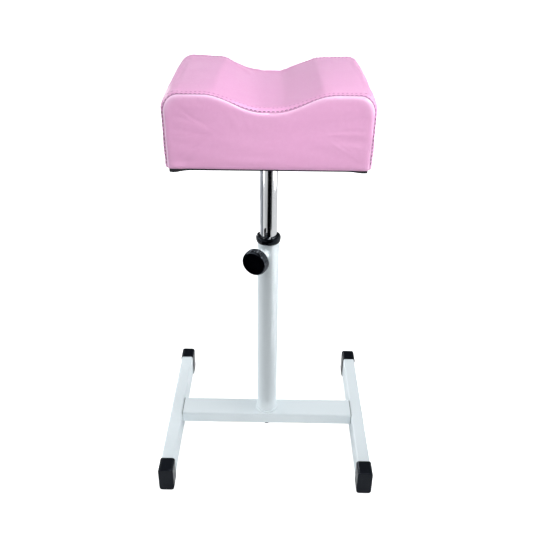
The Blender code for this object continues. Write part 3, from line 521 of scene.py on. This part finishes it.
class Cushion:
    """The sewn cover as rings round its outline, from the front panel's middle to the rear one's."""

    def __init__(self):
        top, foot = outline()
        self.loop = np.concatenate([top, foot[-2:0:-1]])
        self.normal = loop_normals(self.loop)
        reach = np.linspace(-1, 1, HALF_STEPS + 1) * MIDDLE_REACH
        across = np.concatenate([reach, reach[-2:0:-1]])
        self.middle = np.stack([across, seam_height(across) * 0.5 + 0.5], axis=1)
        self.sewn = smooth_step(self.loop[:, 1], 2.0, 7.0)
        steps = np.linalg.norm(np.roll(self.loop, -1, axis=0) - self.loop, axis=1)
        self.along = np.r_[0, np.cumsum(steps)[:-1]]
        self.known = {}
        self.low = np.where(self.loop[:, 1] > 4.0, 1.0, smooth_step(np.abs(self.loop[:, 0]), 115.0, 119.5))
        self.level = smooth_step(self.loop[:, 1], 7.0, 3.5)
        self.beside = smooth_step(self.loop[:, 1], 82.0, 66.0)

    def shaped(self, share):
        """The loop between the seams, where the foam gives its own form to the valley."""
        weight = float(1 - smooth_step(-share, 0.55, 0.98))
        rear = float(smooth_step(share, -0.3, 0.9))
        loop = self.loop.copy()
        loop += self.squarer(0.5 + 0.5 * share)
        on_top = smooth_step(np.abs(loop[:, 0]), 104.0, 96.0) * (loop[:, 1] > 40)
        target = foam_height(loop[:, 0]) * (1 - rear) + rear_height(loop[:, 0]) * rear
        change = target - seam_height(loop[:, 0])
        loop[:, 1] += weight * on_top * change
        return loop

    def outward(self, loop):
        """The loop's normals, but level beside the board, so that the cover's lower corners stay square."""
        normal = loop_normals(loop)
        level = (self.level * (np.abs(loop[:, 0]) > 114.0))[:, None]
        return normal * (1 - level) + np.stack([np.sign(loop[:, 0]), np.zeros(len(loop))], axis=1) * level

    def squarer(self, share):
        """The shoulders are fuller at the rear than at the front, the left one most."""
        x, up = self.loop[:, 0], self.loop[:, 1]
        corner_x = SIDE_AT_SHOULDER - SHOULDER[0] * 0.3
        corner_up = RIDGE - SHOULDER[1] * 0.3
        near = np.exp(-(((np.abs(x) - corner_x) / 15.0) ** 2) - ((up - corner_up) / 15.0) ** 2)
        size = np.where(x < 0, *REAR_SHOULDERS) * share
        side = size[:, None] * near[:, None] * self.normal * (1.0, 0.35)
        wider = REAR_WIDER * share * smooth_step(up, 20, 60) * (1 - near) * (np.abs(x) > 100)
        side[:, 0] += np.sign(x) * wider
        return side

    def crown(self, share, up):
        rise = smooth_step(up, BOARD_TOP, BOARD_TOP + 24.0)
        return CROWN * rise * (1 - abs(share) ** 4)

    def puckers(self, from_seam, rear):
        """Small gathers that run off a seam and fade within about a centimetre."""
        seed = 31.7 if rear else 4.2
        gathers = np.array([wave((s / 9.0, 0.3), seed) for s in self.along])
        size = 0.34 + 1.6 * rear * np.exp(-(((self.loop[:, 0] + 88) / 26) ** 2)) * (self.loop[:, 1] > 60)
        size = size + 0.5 * np.exp(-(self.loop[:, 1] / 14) ** 2)
        fade = math.exp(-from_seam / 7.0) * float(smooth_step(from_seam, 36.0, 18.0))
        return gathers * size * self.sewn * fade * min(1.0, from_seam / 1.5)

    def band_ring(self, from_front):
        """One ring of the band, as (loop in millimetres, depth), from the front seam backwards."""
        share = (from_front - HALF_DEPTH) / HALF_DEPTH
        edge = seam_gap(from_front)
        loop = self.shaped(share)
        normal = self.outward(loop)
        on_rear_top = smooth_step(self.loop[:, 1], 68, 90) * float(smooth_step(share, 0.0, 0.7))
        on_side = smooth_step(self.loop[:, 1], 88, 72)
        roll = (ROLL[0] * (1 - 0.62 * on_rear_top) * (1 - on_side) + ROLL[1] * on_side) * self.low
        reach = self.crown(share, loop[:, 1]) + roll * (1 - math.exp(-edge / 3.0))
        reach = reach - GROOVE * (1 - 0.6 * self.beside) * self.sewn * max(0.0, 1 - edge / 1.8) ** 2
        sewn_down = math.exp(-(((edge - STITCH_LINE) / 0.7) ** 2))
        reach = reach - 0.28 * self.sewn * sewn_down
        reach = reach + self.puckers(edge, share > 0)
        soft = np.array([wave((x / 38.0, share * 2.6), 11.0) for x in self.along])
        reach = reach + 0.35 * soft * self.sewn * smooth_step(edge, 6, 30)
        ring = loop + normal * reach[:, None]
        pulled = FOLDED_RINGS[0][1] * (1 - self.sewn) * math.exp(-edge / 8.0)
        return ring, from_front - HALF_DEPTH + math.copysign(1, share) * pulled

    def panel_ring(self, index, side):
        """One ring of an end panel. Side is -1 at the front and 1 at the rear."""
        inset = self.sewn * SEWN_RINGS[index][0] + (1 - self.sewn) * FOLDED_RINGS[index][0]
        out = self.sewn * SEWN_RINGS[index][1] + (1 - self.sewn) * FOLDED_RINGS[index][1]
        to_middle = self.middle - self.loop
        share = (inset / SEWN_RINGS[-1][0])[:, None]
        turned = min(index / 5.0, 1.0)
        by_normal = self.loop - self.normal * inset[:, None]
        by_middle = self.loop + to_middle * share
        if side > 0:
            raised = self.shaped(1.0) - self.loop
            by_normal = by_normal + raised
            by_middle = by_middle + raised * (1 - share)
        ring = by_normal * (1 - turned) + by_middle * turned
        own = float(smooth_step(index, 1, 6))
        out = out * (1 - own) + self.bulge(ring, side) * own
        return ring, side * (HALF_DEPTH + out)

    def bulge(self, ring, side):
        """How far a panel stands out at each point, by its distance from the seam and the fold."""
        loop = self.shaped(1.0) if side > 0 else self.loop
        edge = loop[self.sewn > 0.5]
        from_seam = np.linalg.norm(ring[:, None, :] - edge[None, :, :], axis=2).min(axis=1)
        from_fold = np.maximum(ring[:, 1] - COVER_BASE, 0.0)
        return PANEL_BULGE * (1 - np.exp(-from_seam / 1.9)) * (1 - np.exp(-from_fold / 3.6))

    def relief(self, ring, index, side):
        """What wrinkles and gathers add to an end panel's ring, outwards."""
        depth_in = SEWN_RINGS[index][0]
        flat = [(point[0] / MM, (point[2] - CUSHION_BASE) / MM) for point in ring]
        out = 0.0
        for size, wide, high, shift, seed in PANEL_WRINKLES:
            out = out + size * np.array([wave((x / wide + shift, up / high), seed + side) for x, up in flat])
        out = smooth_step(depth_in, 3.0, 16.0) * out + self.corner_fold(np.array(flat), side)
        return out + self.puckers(max(depth_in - 1.0, 0.0), side > 0) * 0.8

    def corner_fold(self, ring, side):
        """The cover is gathered round the board's lower corners, most at the front left."""
        folds = 0.0
        for corner, size in ((-1, 1.6 if side < 0 else 0.9), (1, 0.9)):
            across = ring[:, 0] * corner
            raised = np.exp(-(((across - 112) / 9) ** 2) - ((ring[:, 1] - 4.5) / 4.5) ** 2)
            sunk = np.exp(-(((across - 103) / 9) ** 2) - ((ring[:, 1] - 13.0) / 6.0) ** 2)
            folds = folds + size * (raised - 0.7 * sunk)
        return folds

    def build(self):
        """Each ring has its way along the cover: 0 at the front seam, 2 * HALF_DEPTH at the rear."""
        depth = 2 * HALF_DEPTH
        count = len(SEWN_RINGS)
        middle = np.arange(BAND_STEPS[-1] + BAND_STEP, depth - BAND_STEPS[-1], BAND_STEP)
        band = [*BAND_STEPS, *middle, *(depth - step for step in reversed(BAND_STEPS))]
        rings = [(self.panel_ring(index, -1), -self.way_in(index), index) for index in reversed(range(count))]
        rings += [(self.band_ring(step), step, self.seam_step(step)) for step in band]
        rings += [(self.panel_ring(index, 1), depth + self.way_in(index), index) for index in range(count)]
        self.rings = [ring_points(ring) for ring, _, _ in rings]
        for side, panel in ((-1, self.rings[count - 1 :: -1]), (1, self.rings[-count:])):
            for index, ring in enumerate(panel):
                ring[:, 1] += side * self.relief(ring, index, side) * MM
        self.ways = np.array([way for _, way, _ in rings])
        # Painted shade: the seam groove's rings get a darker colour, much less of it on the sides
        shade = [SEAM_SHADE[step] if step < len(SEAM_SHADE) else 0.0 for _, _, step in rings]
        left = self.beside * (self.loop[:, 0] < 0)
        side = left + 0.3 * (self.beside - left)
        self.seam = [self.sewn * (1 - 0.88 * self.beside) * value for value in shade]
        # Painted highlight: a lighter colour on the panels' rolled edges beside the seam, broad on the top,
        # narrow on the sides and weaker on the right
        self.shine = []
        for way in self.ways:
            away = max(-way, way - depth, 0.0)
            broad, narrow = (float(np.interp(away, *zip(*profile))) for profile in (ROLL_SHINE, SIDE_SHINE))
            self.shine.append(self.sewn * (broad * (1 - self.beside) + narrow * side))
        self.give = self.settled()
        for ring, way in zip(self.rings, self.ways):
            ring += self.give_at(way)
        return self.mesh()

    @staticmethod
    def way_in(index):
        """How far a panel's ring is from the seam along the cover."""
        flat = np.array(SEWN_RINGS[: index + 1])
        return 0.3 + float(np.linalg.norm(np.diff(flat, axis=0), axis=1).sum())

    @staticmethod
    def seam_step(step):
        edge = seam_gap(step)
        return BAND_STEPS.index(edge) + 1 if edge in BAND_STEPS else len(BAND_STEPS)

    def cloth_rings(self):
        """Which rings the cloth simulation takes: both ends, both seams and some between."""
        chosen = []
        for number, way in enumerate(self.ways):
            apart = not chosen or abs(way - self.ways[chosen[-1]]) > CLOTH_SPACING
            if number in (0, len(self.ways) - 1) or (apart and seam_gap(way) > 2.0):
                chosen.append(number)
        for seam in (BAND_STEPS[0], 2 * HALF_DEPTH - BAND_STEPS[0]):
            chosen.append(int(np.argmin(np.abs(self.ways - seam))))
        return sorted(set(chosen))

    def settled(self):
        """A cloth simulation of the cover, held at its seams and under the board, as moves in metres."""
        chosen = self.cloth_rings()
        points = np.array([self.rings[number][::CLOTH_COLUMNS] for number in chosen])
        count = points.shape[1]
        half = count // 2
        mesh = bpy.data.meshes.new("cover_cloth")
        faces = cloth_faces(len(chosen), count)
        mesh.from_pydata([tuple(point) for point in points.reshape(-1, 3)], [], faces)
        item = new_object("cover_cloth", mesh)
        held = item.vertex_groups.new(name="held")
        up = self.loop[::CLOTH_COLUMNS, 1]
        for ring, number in enumerate(chosen):
            at_seam = seam_gap(self.ways[number]) < HELD_NEAR_SEAM
            for i in range(count):
                if at_seam or up[i] < HELD_BELOW:
                    held.add([ring * count + i], 1.0, "REPLACE")
        moved = run_cloth(item).reshape(points.shape) - points
        bpy.data.objects.remove(item)
        for ring in (0, -1):
            moved[ring, half + 1 :] = moved[ring, 1:half][::-1]
        size = np.linalg.norm(moved, axis=2, keepdims=True)
        limit = CLOTH_LIMIT * MM
        moved = moved * (limit * np.tanh(size / limit) / np.maximum(size, 1e-9))
        return self.ways[chosen], finer(moved)

    def give_at(self, way):
        """How far the simulation moved the cover at one ring."""
        if self.give is None:
            return np.zeros((len(self.loop), 3))
        ways, moves = self.give
        after = int(np.clip(np.searchsorted(ways, way), 1, len(ways) - 1))
        share = float(np.clip((way - ways[after - 1]) / (ways[after] - ways[after - 1]), 0, 1))
        size = PANEL_GIVE if way < 0 or way > 2 * HALF_DEPTH else 1.0
        return size * (moves[after - 1] * (1 - share) + moves[after] * share)

    def mesh(self):
        points = [tuple(point) for ring in self.rings for point in ring]
        cushion = add_mesh("cushion", points, side_faces(len(self.rings), len(self.loop)), skin)
        # The painted seam shade and the painted edge highlight, kept on the vertices for the leather's colour
        store_shade(cushion, points, "seam", np.concatenate(self.seam))
        store_shade(cushion, points, "shine", np.concatenate(self.shine))
        return cushion

    def on_band(self, from_front, column, lift):
        """A point on the settled band, lifted off it by some tenths of a millimetre."""
        if from_front not in self.known:
            ring = self.band_ring(from_front)
            self.known[from_front] = (ring[0], loop_normals(ring[0]), ring[1], self.give_at(from_front))
        loop, normal, depth, moves = self.known[from_front]
        x, up = loop[column] + normal[column] * lift
        return Vector(place(x, depth[column], up)) + Vector(moves[column])


def ring_points(ring):
    """A ring's (loop, depth) in millimetres as places in metres."""
    loop, depth = ring
    return np.stack([loop[:, 0], AXIS_Y / MM + depth, CUSHION_BASE / MM + loop[:, 1]], axis=1) * MM


def cloth_faces(rings, count):
    """The faces between the cloth's rings. The two halves of an end ring are one line."""

    def vertex(ring, i):
        i %= count
        if ring in (0, rings - 1) and i > count // 2:
            i = count - i
        return ring * count + i

    faces = []
    for ring in range(rings - 1):
        for i in range(count):
            corners = [vertex(ring, i), vertex(ring, i + 1), vertex(ring + 1, i + 1), vertex(ring + 1, i)]
            corners = list(dict.fromkeys(corners))
            if len(corners) > 2:
                faces.append(corners[::-1])
    return faces


def finer(moved):
    """Moves for every point of the rings, on smooth curves through those of the cloth."""
    count = moved.shape[1]
    places = np.arange(count * CLOTH_COLUMNS)
    low = places // CLOTH_COLUMNS
    share = (places % CLOTH_COLUMNS / CLOTH_COLUMNS)[None, :, None]
    before, after = moved[:, (low - 1) % count], moved[:, (low + 2) % count]
    here, there = moved[:, low], moved[:, (low + 1) % count]
    return 0.5 * (
        2 * here + (there - before) * share
        + (2 * before - 5 * here + 4 * there - after) * share ** 2
        + (3 * here - before - 3 * there + after) * share ** 3
    )


def run_cloth(item):
    """Runs the cloth over its frames and gives the vertices where they end up."""
    cloth = item.modifiers.new("cloth", "CLOTH")
    for name, value in CLOTH_SETTINGS.items():
        setattr(cloth.settings, name, value)
    cloth.settings.effector_weights.gravity = 0
    cloth.collision_settings.use_collision = False
    cloth.point_cache.frame_end = CLOTH_FRAMES
    for number in range(1, CLOTH_FRAMES + 1):
        bpy.context.scene.frame_set(number)
    shape = item.evaluated_get(bpy.context.evaluated_depsgraph_get()).data
    found = np.zeros(len(shape.vertices) * 3)
    shape.vertices.foreach_get("co", found)
    bpy.context.scene.frame_set(1)
    return found


def place(across, depth, up):
    """From the cushion's own millimetres to the frame's metres."""
    return (across * MM, AXIS_Y + depth * MM, CUSHION_BASE + up * MM)


def store_shade(cushion, points, name, values):
    """Keeps a value on each vertex. Merged vertices are found again by their place."""

    def spot(point):
        return tuple(round(c * MICRONS) for c in point)

    known = {spot(point): value for point, value in zip(points, values)}
    layer = cushion.data.attributes.new(name, "FLOAT", "POINT")
    found = [known.get(spot(vertex.co), 0.0) for vertex in cushion.data.vertices]
    layer.data.foreach_set("value", np.array(found, np.float32))


def tube(points, radius, sides=6, taper=0.55):
    """A thread through a few points: (points, faces) of a closed tube with narrowed ends."""
    points = [Vector(point) for point in points]
    rings = []
    for i, point in enumerate(points):
        ahead = (points[min(i + 1, len(points) - 1)] - points[max(i - 1, 0)]).normalized()
        side = ahead.orthogonal().normalized()
        over = ahead.cross(side)
        size = radius * (taper if i in (0, len(points) - 1) else 1.0)
        rings.append([point + (side * math.cos(t) + over * math.sin(t)) * size for t in turns(sides)])
    return [point for ring in rings for point in ring], closed_faces(len(rings), sides)


def join(parts):
    points = []
    faces = []
    for part_points, part_faces in parts:
        faces += [tuple(i + len(points) for i in face) for face in part_faces]
        points += part_points
    return points, faces


def add_stitches(form):
    """A fine row of thread beside each end seam, and dark stitches in the seams themselves."""
    used = [i for i in range(len(form.loop)) if form.sewn[i] > 0.6]
    count = len(form.loop)
    rows = {"cushion_stitches": [], "cushion_seam_thread": []}
    for first in used[::3]:
        picks = [(first + step) % count for step in range(3)]
        if not all(form.sewn[i] > 0.6 for i in picks):
            continue
        on_side = float(smooth_step(form.loop[first][1], 84.0, 66.0))
        for edge, lifts, radius, row in (
            (STITCH_LINE, (-0.12, 0.26, -0.12), 0.32, "cushion_stitches"),
            (0.7 + 0.2 * on_side, (0.05, 0.35, 0.05), 0.24 + 0.42 * on_side, "cushion_seam_thread"),
        ):
            for from_front in (edge, 2 * HALF_DEPTH - edge):
                path = [form.on_band(from_front, i, lift) for i, lift in zip(picks, lifts)]
                rows[row].append(tube(path, radius * MM))
    for name, material in (("cushion_stitches", thread), ("cushion_seam_thread", dark_thread)):
        belongs(add_mesh(name, *join(rows[name]), material), "post")


def add_cushion():
    form = Cushion()
    cushion = form.build()
    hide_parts("cover_band", "cover_front_panel", "cover_rear_panel", "foam_block")
    belongs(cushion, "post")
    add_stitches(form)


# Underside


def add_dust_cover():
    """Thin cloth under the board, hemmed at its edge and bunched a little at the corners."""
    columns, rows = CLOTH_GRID
    lower = []
    upper = []
    for j in range(rows + 1):
        v = -math.cos(math.pi * j / rows)
        y = CLOTH_HALF_Y * v
        front = float(smooth_step(-v, 0.90, 0.97))
        for i in range(columns + 1):
            u = -math.cos(math.pi * i / columns)
            x = CLOTH_HALF_X * u
            edge = min(CLOTH_HALF_X - abs(x), CLOTH_HALF_Y - abs(y))
            beside = (CLOTH_HALF_X - 5 - abs(x)) / 11
            before = (CLOTH_HALF_Y - 4 - abs(y)) / 9
            corner = math.exp(-(beside ** 2 + before ** 2))
            hem = (0.35 + (0.75 - 0.3 * u) * front) * (1 - float(smooth_step(edge, 7.0, 9.5)))
            sag = 0.25 * wave((x / 30.0, y / 26.0), 2.0) * float(smooth_step(edge, 4.0, 22.0))
            bunch = (3.4 if x < 0 else 2.3) if y < 0 else 1.2
            lower.append(place(x, y, 0.35 - hem - sag - bunch * corner))
            upper.append(place(x, y, 0.95))
    faces = []
    width = columns + 1
    size = width * (rows + 1)
    for j in range(rows):
        for i in range(columns):
            a = j * width + i
            faces.append((a, a + width, a + width + 1, a + 1))
            faces.append((size + a, size + a + 1, size + a + width + 1, size + a + width))
    rim = list(range(columns)) + [columns + j * width for j in range(rows)]
    rim += [rows * width + i for i in range(columns, 0, -1)] + [j * width for j in range(rows, 0, -1)]
    faces += [(a, b, size + b, size + a) for a, b in zip(rim, rim[1:] + rim[:1])]
    cover = add_mesh("dust_cloth", lower + upper, faces, cloth, 60)
    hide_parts("dust_cover")
    belongs(cover, "post")


def add_staples():
    """Staples that hold the cloth: low bars with bent ends, a little askew."""
    parts = []
    places = []
    for x in np.linspace(-106, 106, 9):
        places += [(x, -91.5, 0.0), (x, 91.5, 0.0)]
    for y in np.linspace(-74, 74, 7):
        places += [(-114.0, y, 90.0), (114.0, y, 90.0)]
    for number, (x, y, turn) in enumerate(places):
        angle = math.radians(turn + 9.0 * wave((number * 1.7, 0.4), 5.0))
        ahead = Vector((math.cos(angle), math.sin(angle)))
        across = [(-5.0, 0.35), (-4.85, -0.15), (-4.5, -0.42), (4.5, -0.42), (4.85, -0.15), (5.0, 0.35)]
        path = [place(x + ahead.x * s, y + ahead.y * s, up) for s, up in across]
        parts.append(tube(path, 0.42 * MM, 8, 0.9))
    belongs(add_mesh("dust_cloth_staples", *join(parts), steel), "post")


# Fasteners


def clamp_matrix():
    """Places what is drawn along +Z onto the clamp's axis, at the mast's axis."""
    angle = math.radians(CLAMP_ANGLE)
    outward = Vector((-math.sin(angle), -math.cos(angle), 0))
    up = Vector((0, 0, 1))
    across = up.cross(outward)
    turn = Matrix((across, up, outward)).transposed().to_4x4()
    return Matrix.Translation((0, AXIS_Y, CLAMP_HEIGHT)) @ turn


def threaded_rod(radius, pitch, start, end, depth, sides=32, levels=8):
    """A helical thread as rings that step along the rod, with plain ends."""
    steps = int((end - start) / pitch * levels)
    points = []
    for j in range(steps + 1):
        z = start + (end - start) * j / steps
        fade = max(0.0, min(1.0, (z - start) / pitch, (end - z) / pitch))
        for i, turn in enumerate(turns(sides)):
            phase = (z / pitch - i / sides) % 1.0
            root = abs(2 * phase - 1)
            points.append((*around(radius - depth * root * fade - depth * 0.3 * (1 - fade), turn), z))
    return points, closed_faces(steps + 1, sides)


def hex_head(across_flats, start, end, chamfer, steps=60):
    """A hexagon head along +Z with its corners taken off, as (points, faces)."""
    corner = across_flats / math.sqrt(3)
    sixth = math.pi / 6
    levels = ((start, chamfer), (start + chamfer * 0.6, 0.0), (end - chamfer * 0.6, 0.0), (end, chamfer))
    points = []
    for z, inset in levels:
        for turn in turns(steps):
            flat = math.cos((turn + sixth) % (2 * sixth) - sixth)
            points.append((*around(min(across_flats / 2 / flat, corner - inset), turn), z))
    return points, closed_faces(len(levels), steps)


def add_clamp_screw():
    rod = threaded_rod(SCREW_RADIUS, SCREW_PITCH, *SCREW_ENDS, THREAD_DEPTH)
    points, faces = join([rod, hex_head(HEAD_FLATS, *HEAD_ENDS, HEAD_CHAMFER)])
    points = [clamp_matrix() @ (Vector(p) * MM) for p in points]
    screw = add_mesh("clamp_screw_thread", points, faces, steel, 40)
    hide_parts("clamp_screw")
    belongs(screw, "knob")


def add_boss_weld():
    """A thin painted bead where the boss meets the mast."""
    centre = BOSS_RADIUS + 0.15
    count, sides = 96, 8
    points = []
    for turn in turns(count):
        bead = 0.95 + 0.12 * wave(around(6, turn), 8.0)
        base = math.sqrt(MAST_RADIUS ** 2 - (centre * math.cos(turn)) ** 2)
        for side in turns(sides):
            out, up = around(bead, side)
            x, y = around(centre + out, turn)
            points.append(Vector((x, y, base + 0.35 + up)) * MM)
    faces = [tuple(i % len(points) for i in face) for face in side_faces(count + 1, sides)]
    weld = add_mesh("boss_weld", [clamp_matrix() @ p for p in points], faces, white)
    belongs(weld, "base")


def add_joint_gaps():
    """A thin dark tube where each end of the crossbar meets a leg: painted shadow of the narrow gap between
    them.
    """
    low, high = (Vector(corner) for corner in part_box("crossbar"))
    inset = 2.2 * MM
    for name, x in (("joint_gap_left", low.x - 0.15 * MM), ("joint_gap_right", high.x + 0.15 * MM)):
        path = [(x, low.y, low.z + inset), (x, low.y, high.z - inset)]
        corner = [(inset * (1 - math.cos(t)), inset * (1 - math.sin(t))) for t in (0.4, 0.8, 1.2)]
        path += [(x, low.y + back, high.z - down) for back, down in corner]
        path += [(x, low.y + inset, high.z), (x, high.y - inset, high.z)]
        path += [(x, high.y, high.z - inset), (x, high.y, low.z + inset)]
        gap = add_mesh(name, *tube(path, 0.45 * MM, 8, 1.0), painted_gap_shadow, 60)
        belongs(gap, "base")


def add_plate_screws():
    """Pan heads with a cross recess."""
    profile = ((4.0, 2.6), (3.95, 1.9), (3.6, 1.1), (2.9, 0.45), (2.0, 0.12), (0.9, 0.0))
    steps = 40
    for number in range(1, 5):
        node = f"plate_screw_{number}"
        low, high = (Vector(corner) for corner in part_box(node))
        middle = (low + high) / 2
        points = []
        for radius, depth in profile:
            for turn in turns(steps):
                x, y = around(radius * MM, turn)
                points.append((middle.x + x, middle.y + y, low.z + depth * MM))
        faces = closed_faces(len(profile), steps)
        head = add_mesh(f"{node}_head", points, faces, steel, 40)
        cut_cross(head, middle, low.z)
        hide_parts(node)
        belongs(head, "post")


def cut_cross(head, middle, base):
    """Cuts a cross recess into a screw's head, with one Boolean for each arm."""
    faces = closed_faces(2, 4)
    for turn in (0, math.pi / 2):
        cos, sin = math.cos(turn), math.sin(turn)
        points = []
        for depth, reach, half in ((-0.5, 2.1, 0.42), (1.5, 1.1, 0.30)):
            for x, y in ((-reach, -half), (reach, -half), (reach, half), (-reach, half)):
                across, along = x * cos - y * sin, x * sin + y * cos
                points.append((middle.x + across * MM, middle.y + along * MM, base + depth * MM))
        tool = add_mesh("cross_tool", points, faces, steel)
        boolean = head.modifiers.new("cross", "BOOLEAN")
        boolean.object = tool
        boolean.solver = "EXACT"
        with bpy.context.temp_override(object=head, active_object=head):
            bpy.ops.object.modifier_apply(modifier=boolean.name)
        bpy.data.objects.remove(tool)
    head.data.set_sharp_from_angle(angle=math.radians(35))


# Studio


def add_floor():
    floor = add_mesh("floor", lying(-9, -6, 9, 12, 0), [(0, 1, 2, 3)], None)
    paper = Finish("pale_floor", (0.90, 0.90, 0.90), 0.9, Specular_IOR_Level=0.1)
    paper.tint(paper.ranged(paper.noise(2.0), 0.0, 0.2, 0.4, 0.7), (0.88, 0.88, 0.885))
    seen = paper.add("ShaderNodeLightPath").outputs["Is Camera Ray"]
    paper.link(paper.ranged(seen, 0.0, FLOOR_SEEN), paper.shader.inputs["Emission Strength"])
    dress(floor, paper.material)


def add_panel(name, centre, facing, size, power, spread=180):
    light = bpy.data.lights.new(name, "AREA")
    light.shape = "RECTANGLE"
    light.size, light.size_y = size
    light.energy = power
    light.spread = math.radians(spread)
    item = new_object(name, light)
    item.location = centre
    item.rotation_euler = (Vector(facing) - Vector(centre)).to_track_quat("-Z", "Y").to_euler()


def add_card(name, points, colour, kind="glossy"):
    """A card that the camera doesn't see, for reflections, soft shade or a shadow alone."""
    card = add_mesh(name, points, [(0, 1, 2, 3)], None)
    finish = Finish(name, colour, 1.0, Specular_IOR_Level=0.0)
    dress(card, finish.material)
    card.visible_camera = False
    card.visible_diffuse = kind == "diffuse"
    card.visible_glossy = kind == "glossy"
    card.visible_shadow = kind == "shadow"
    return finish


def add_glow(name, points, strength):
    """A bright card that shows only as a reflection, as a softbox does."""
    glow = add_card(name, points, (0.0, 0.0, 0.0))
    glow.shader.inputs["Emission Strength"].default_value = strength
    glow.material.cycles.emission_sampling = "NONE"


def upright(x_0, y_0, x_1, y_1, top, bottom=0.001):
    return [(x_0, y_0, bottom), (x_1, y_1, bottom), (x_1, y_1, top), (x_0, y_0, top)]


def lying(x_0, y_0, x_1, y_1, up):
    return [(x_0, y_0, up), (x_1, y_0, up), (x_1, y_1, up), (x_0, y_1, up)]


def facing_card(start, direction, distance, half):
    """The corners of a square card across a line, some way along it."""
    ahead = Vector(direction).normalized()
    middle = Vector(start) + ahead * distance
    side = ahead.cross(Vector((0, 0, 1))).normalized() * half
    over = side.cross(ahead).normalized() * half
    return [middle - side - over, middle + side - over, middle + side + over, middle - side + over]


def add_world():
    """Soft light from above, behind and both sides, and little from the camera's side."""
    world = bpy.data.worlds.new("studio")
    bpy.context.scene.world = world
    world.use_nodes = True
    tree = world.node_tree
    background = tree.nodes["Background"]
    background.inputs["Color"].default_value = (0.95, 0.98, 1.0, 1.0)
    direction = tree.nodes.new("ShaderNodeTexCoord").outputs["Generated"]
    parts = tree.nodes.new("ShaderNodeSeparateXYZ")
    tree.links.new(direction, parts.inputs["Vector"])
    across = joined(tree, "ABSOLUTE", parts.outputs["X"])
    side = ranged(tree, across, (0.35, 0.85), (0.0, 1.0))
    lower = ranged(tree, parts.outputs["Z"], (0.15, 0.65), (1.0, 0.75))
    side = joined(tree, "MULTIPLY", side, lower)
    high = ranged(tree, parts.outputs["Z"], (0.58, 0.85), (0.0, WORLD_TOP / WORLD_SIDES))
    strength = ranged(tree, joined(tree, "MAXIMUM", side, high), (0.0, 1.0), (WORLD_DARK, WORLD_SIDES))
    light_path = tree.nodes.new("ShaderNodeLightPath")
    seen = ranged(tree, light_path.outputs["Is Camera Ray"], (0.0, 1.0), (0.0, WORLD_SEEN))
    tree.links.new(joined(tree, "MAXIMUM", strength, seen), background.inputs["Strength"])


def add_cards():
    knob_face = clamp_matrix() @ Vector((0, 0, KNOB_FACE * MM))
    dark_spot = facing_card(knob_face, (-0.685, -0.536, -0.5), 0.045, 0.025)
    add_card("dark_card", upright(-0.10, -0.62, 0.47, -0.62, 0.44), DARK)
    add_card("dark_room", upright(-0.7, -0.75, 0.7, -0.75, 0.6), DARK, "diffuse")
    add_card("dim_floor", lying(-0.2, -0.75, 0.2, -0.27, 0.1), (0.05, 0.05, 0.05), "diffuse")
    add_card("dark_spot", dark_spot, (0.001, 0.001, 0.002))
    add_card("flag", upright(-0.30, -0.17, 0.35, -0.17, 0.525, 0.15), BLACK, "shadow")
    add_card("mast_flag", upright(-0.002, -0.17, 0.038, -0.17, 0.16, 0.098), BLACK, "shadow")
    left, back, top = -0.62, 0.75, 0.44
    add_card("grey_card", upright(left, 0.02, left, back, top), GREY)
    add_card("grey_card_behind", upright(left, back, -0.33, back, top), GREY)
    add_card("grey_card_edge", upright(left, -0.14, left, 0.02, top), (0.20, 0.21, 0.23))


def add_glows():
    middle = (0.0, -0.01, 0.45)
    for name, direction, strength in (
        ("glow_front", (0.05, -0.60, 0.80), 14.0),
        ("glow_left", (-0.75, -0.20, 0.62), 8.0),
        ("glow_right", (0.75, -0.20, 0.62), 8.0),
    ):
        add_glow(name, facing_card(middle, direction, 1.5, 0.20), strength)
    add_glow("glow_low_left", lying(-1.5, -0.6, -0.92, 0.3, 0.05), 6.0)
    add_glow("glow_low_right", lying(0.92, -0.6, 1.5, 0.3, 0.05), 4.0)


def add_lights():
    """Each light's name, place, aim, size and power, and how wide it spreads."""
    add_panel("key_light", (0.85, -0.15, 1.25), (0.0, -0.05, 0.5), (0.6, 0.6), 5.3)
    add_panel("left_light", (-1.2, -0.05, 0.45), (0.0, 0.0, 0.3), (0.5, 0.9), 2.2)
    add_panel("spot_light", (-0.9, -0.5, 1.6), (0.0, -0.05, 0.4), (0.3, 0.3), 0.7)
    add_panel("back_light", (-1.0, 1.3, 0.75), (0.0, 0.0, 0.05), (0.6, 0.3), 6.0)
    add_panel("front_light", (0.48, -1.45, 1.08), (0.03, -0.1, 0.535), (0.4, 0.24), 0.54, 28)
    add_panel("low_light", (0.2, -1.65, 0.45), (0.0, 0.0, 0.03), (0.4, 0.2), 0.145, 26)
    add_panel("cushion_light", (0.9, -0.1, 1.15), (0.0, -0.04, 0.60), (0.3, 0.3), 0.235, 36)


def add_camera():
    ahead = math.cos(CAMERA_PITCH)
    forward = Vector((math.sin(CAMERA_YAW) * ahead, math.cos(CAMERA_YAW) * ahead, -math.sin(CAMERA_PITCH)))
    level = Vector((math.cos(CAMERA_YAW), -math.sin(CAMERA_YAW), 0))
    over = level.cross(forward)
    right = level * math.cos(CAMERA_ROLL) + over * math.sin(CAMERA_ROLL)
    up = over * math.cos(CAMERA_ROLL) - level * math.sin(CAMERA_ROLL)
    data = bpy.data.cameras.new("camera")
    data.sensor_fit = "HORIZONTAL"
    data.sensor_width = 36.0
    data.lens = FOCAL_PIXELS * data.sensor_width / IMAGE_WIDTH
    camera = new_object("camera", data)
    turn = Matrix((right, up, -forward)).transposed().to_4x4()
    camera.matrix_world = Matrix.Translation(CAMERA_PLACE) @ turn
    bpy.context.scene.camera = camera
    bpy.context.scene.view_settings.view_transform = "Standard"


dress_frame()
add_cushion()
add_dust_cover()
add_staples()
add_clamp_screw()
add_boss_weld()
add_joint_gaps()
add_plate_screws()
add_floor()
add_cards()
add_glows()
add_world()
add_lights()
add_camera()

bpy.context.view_layer.update()
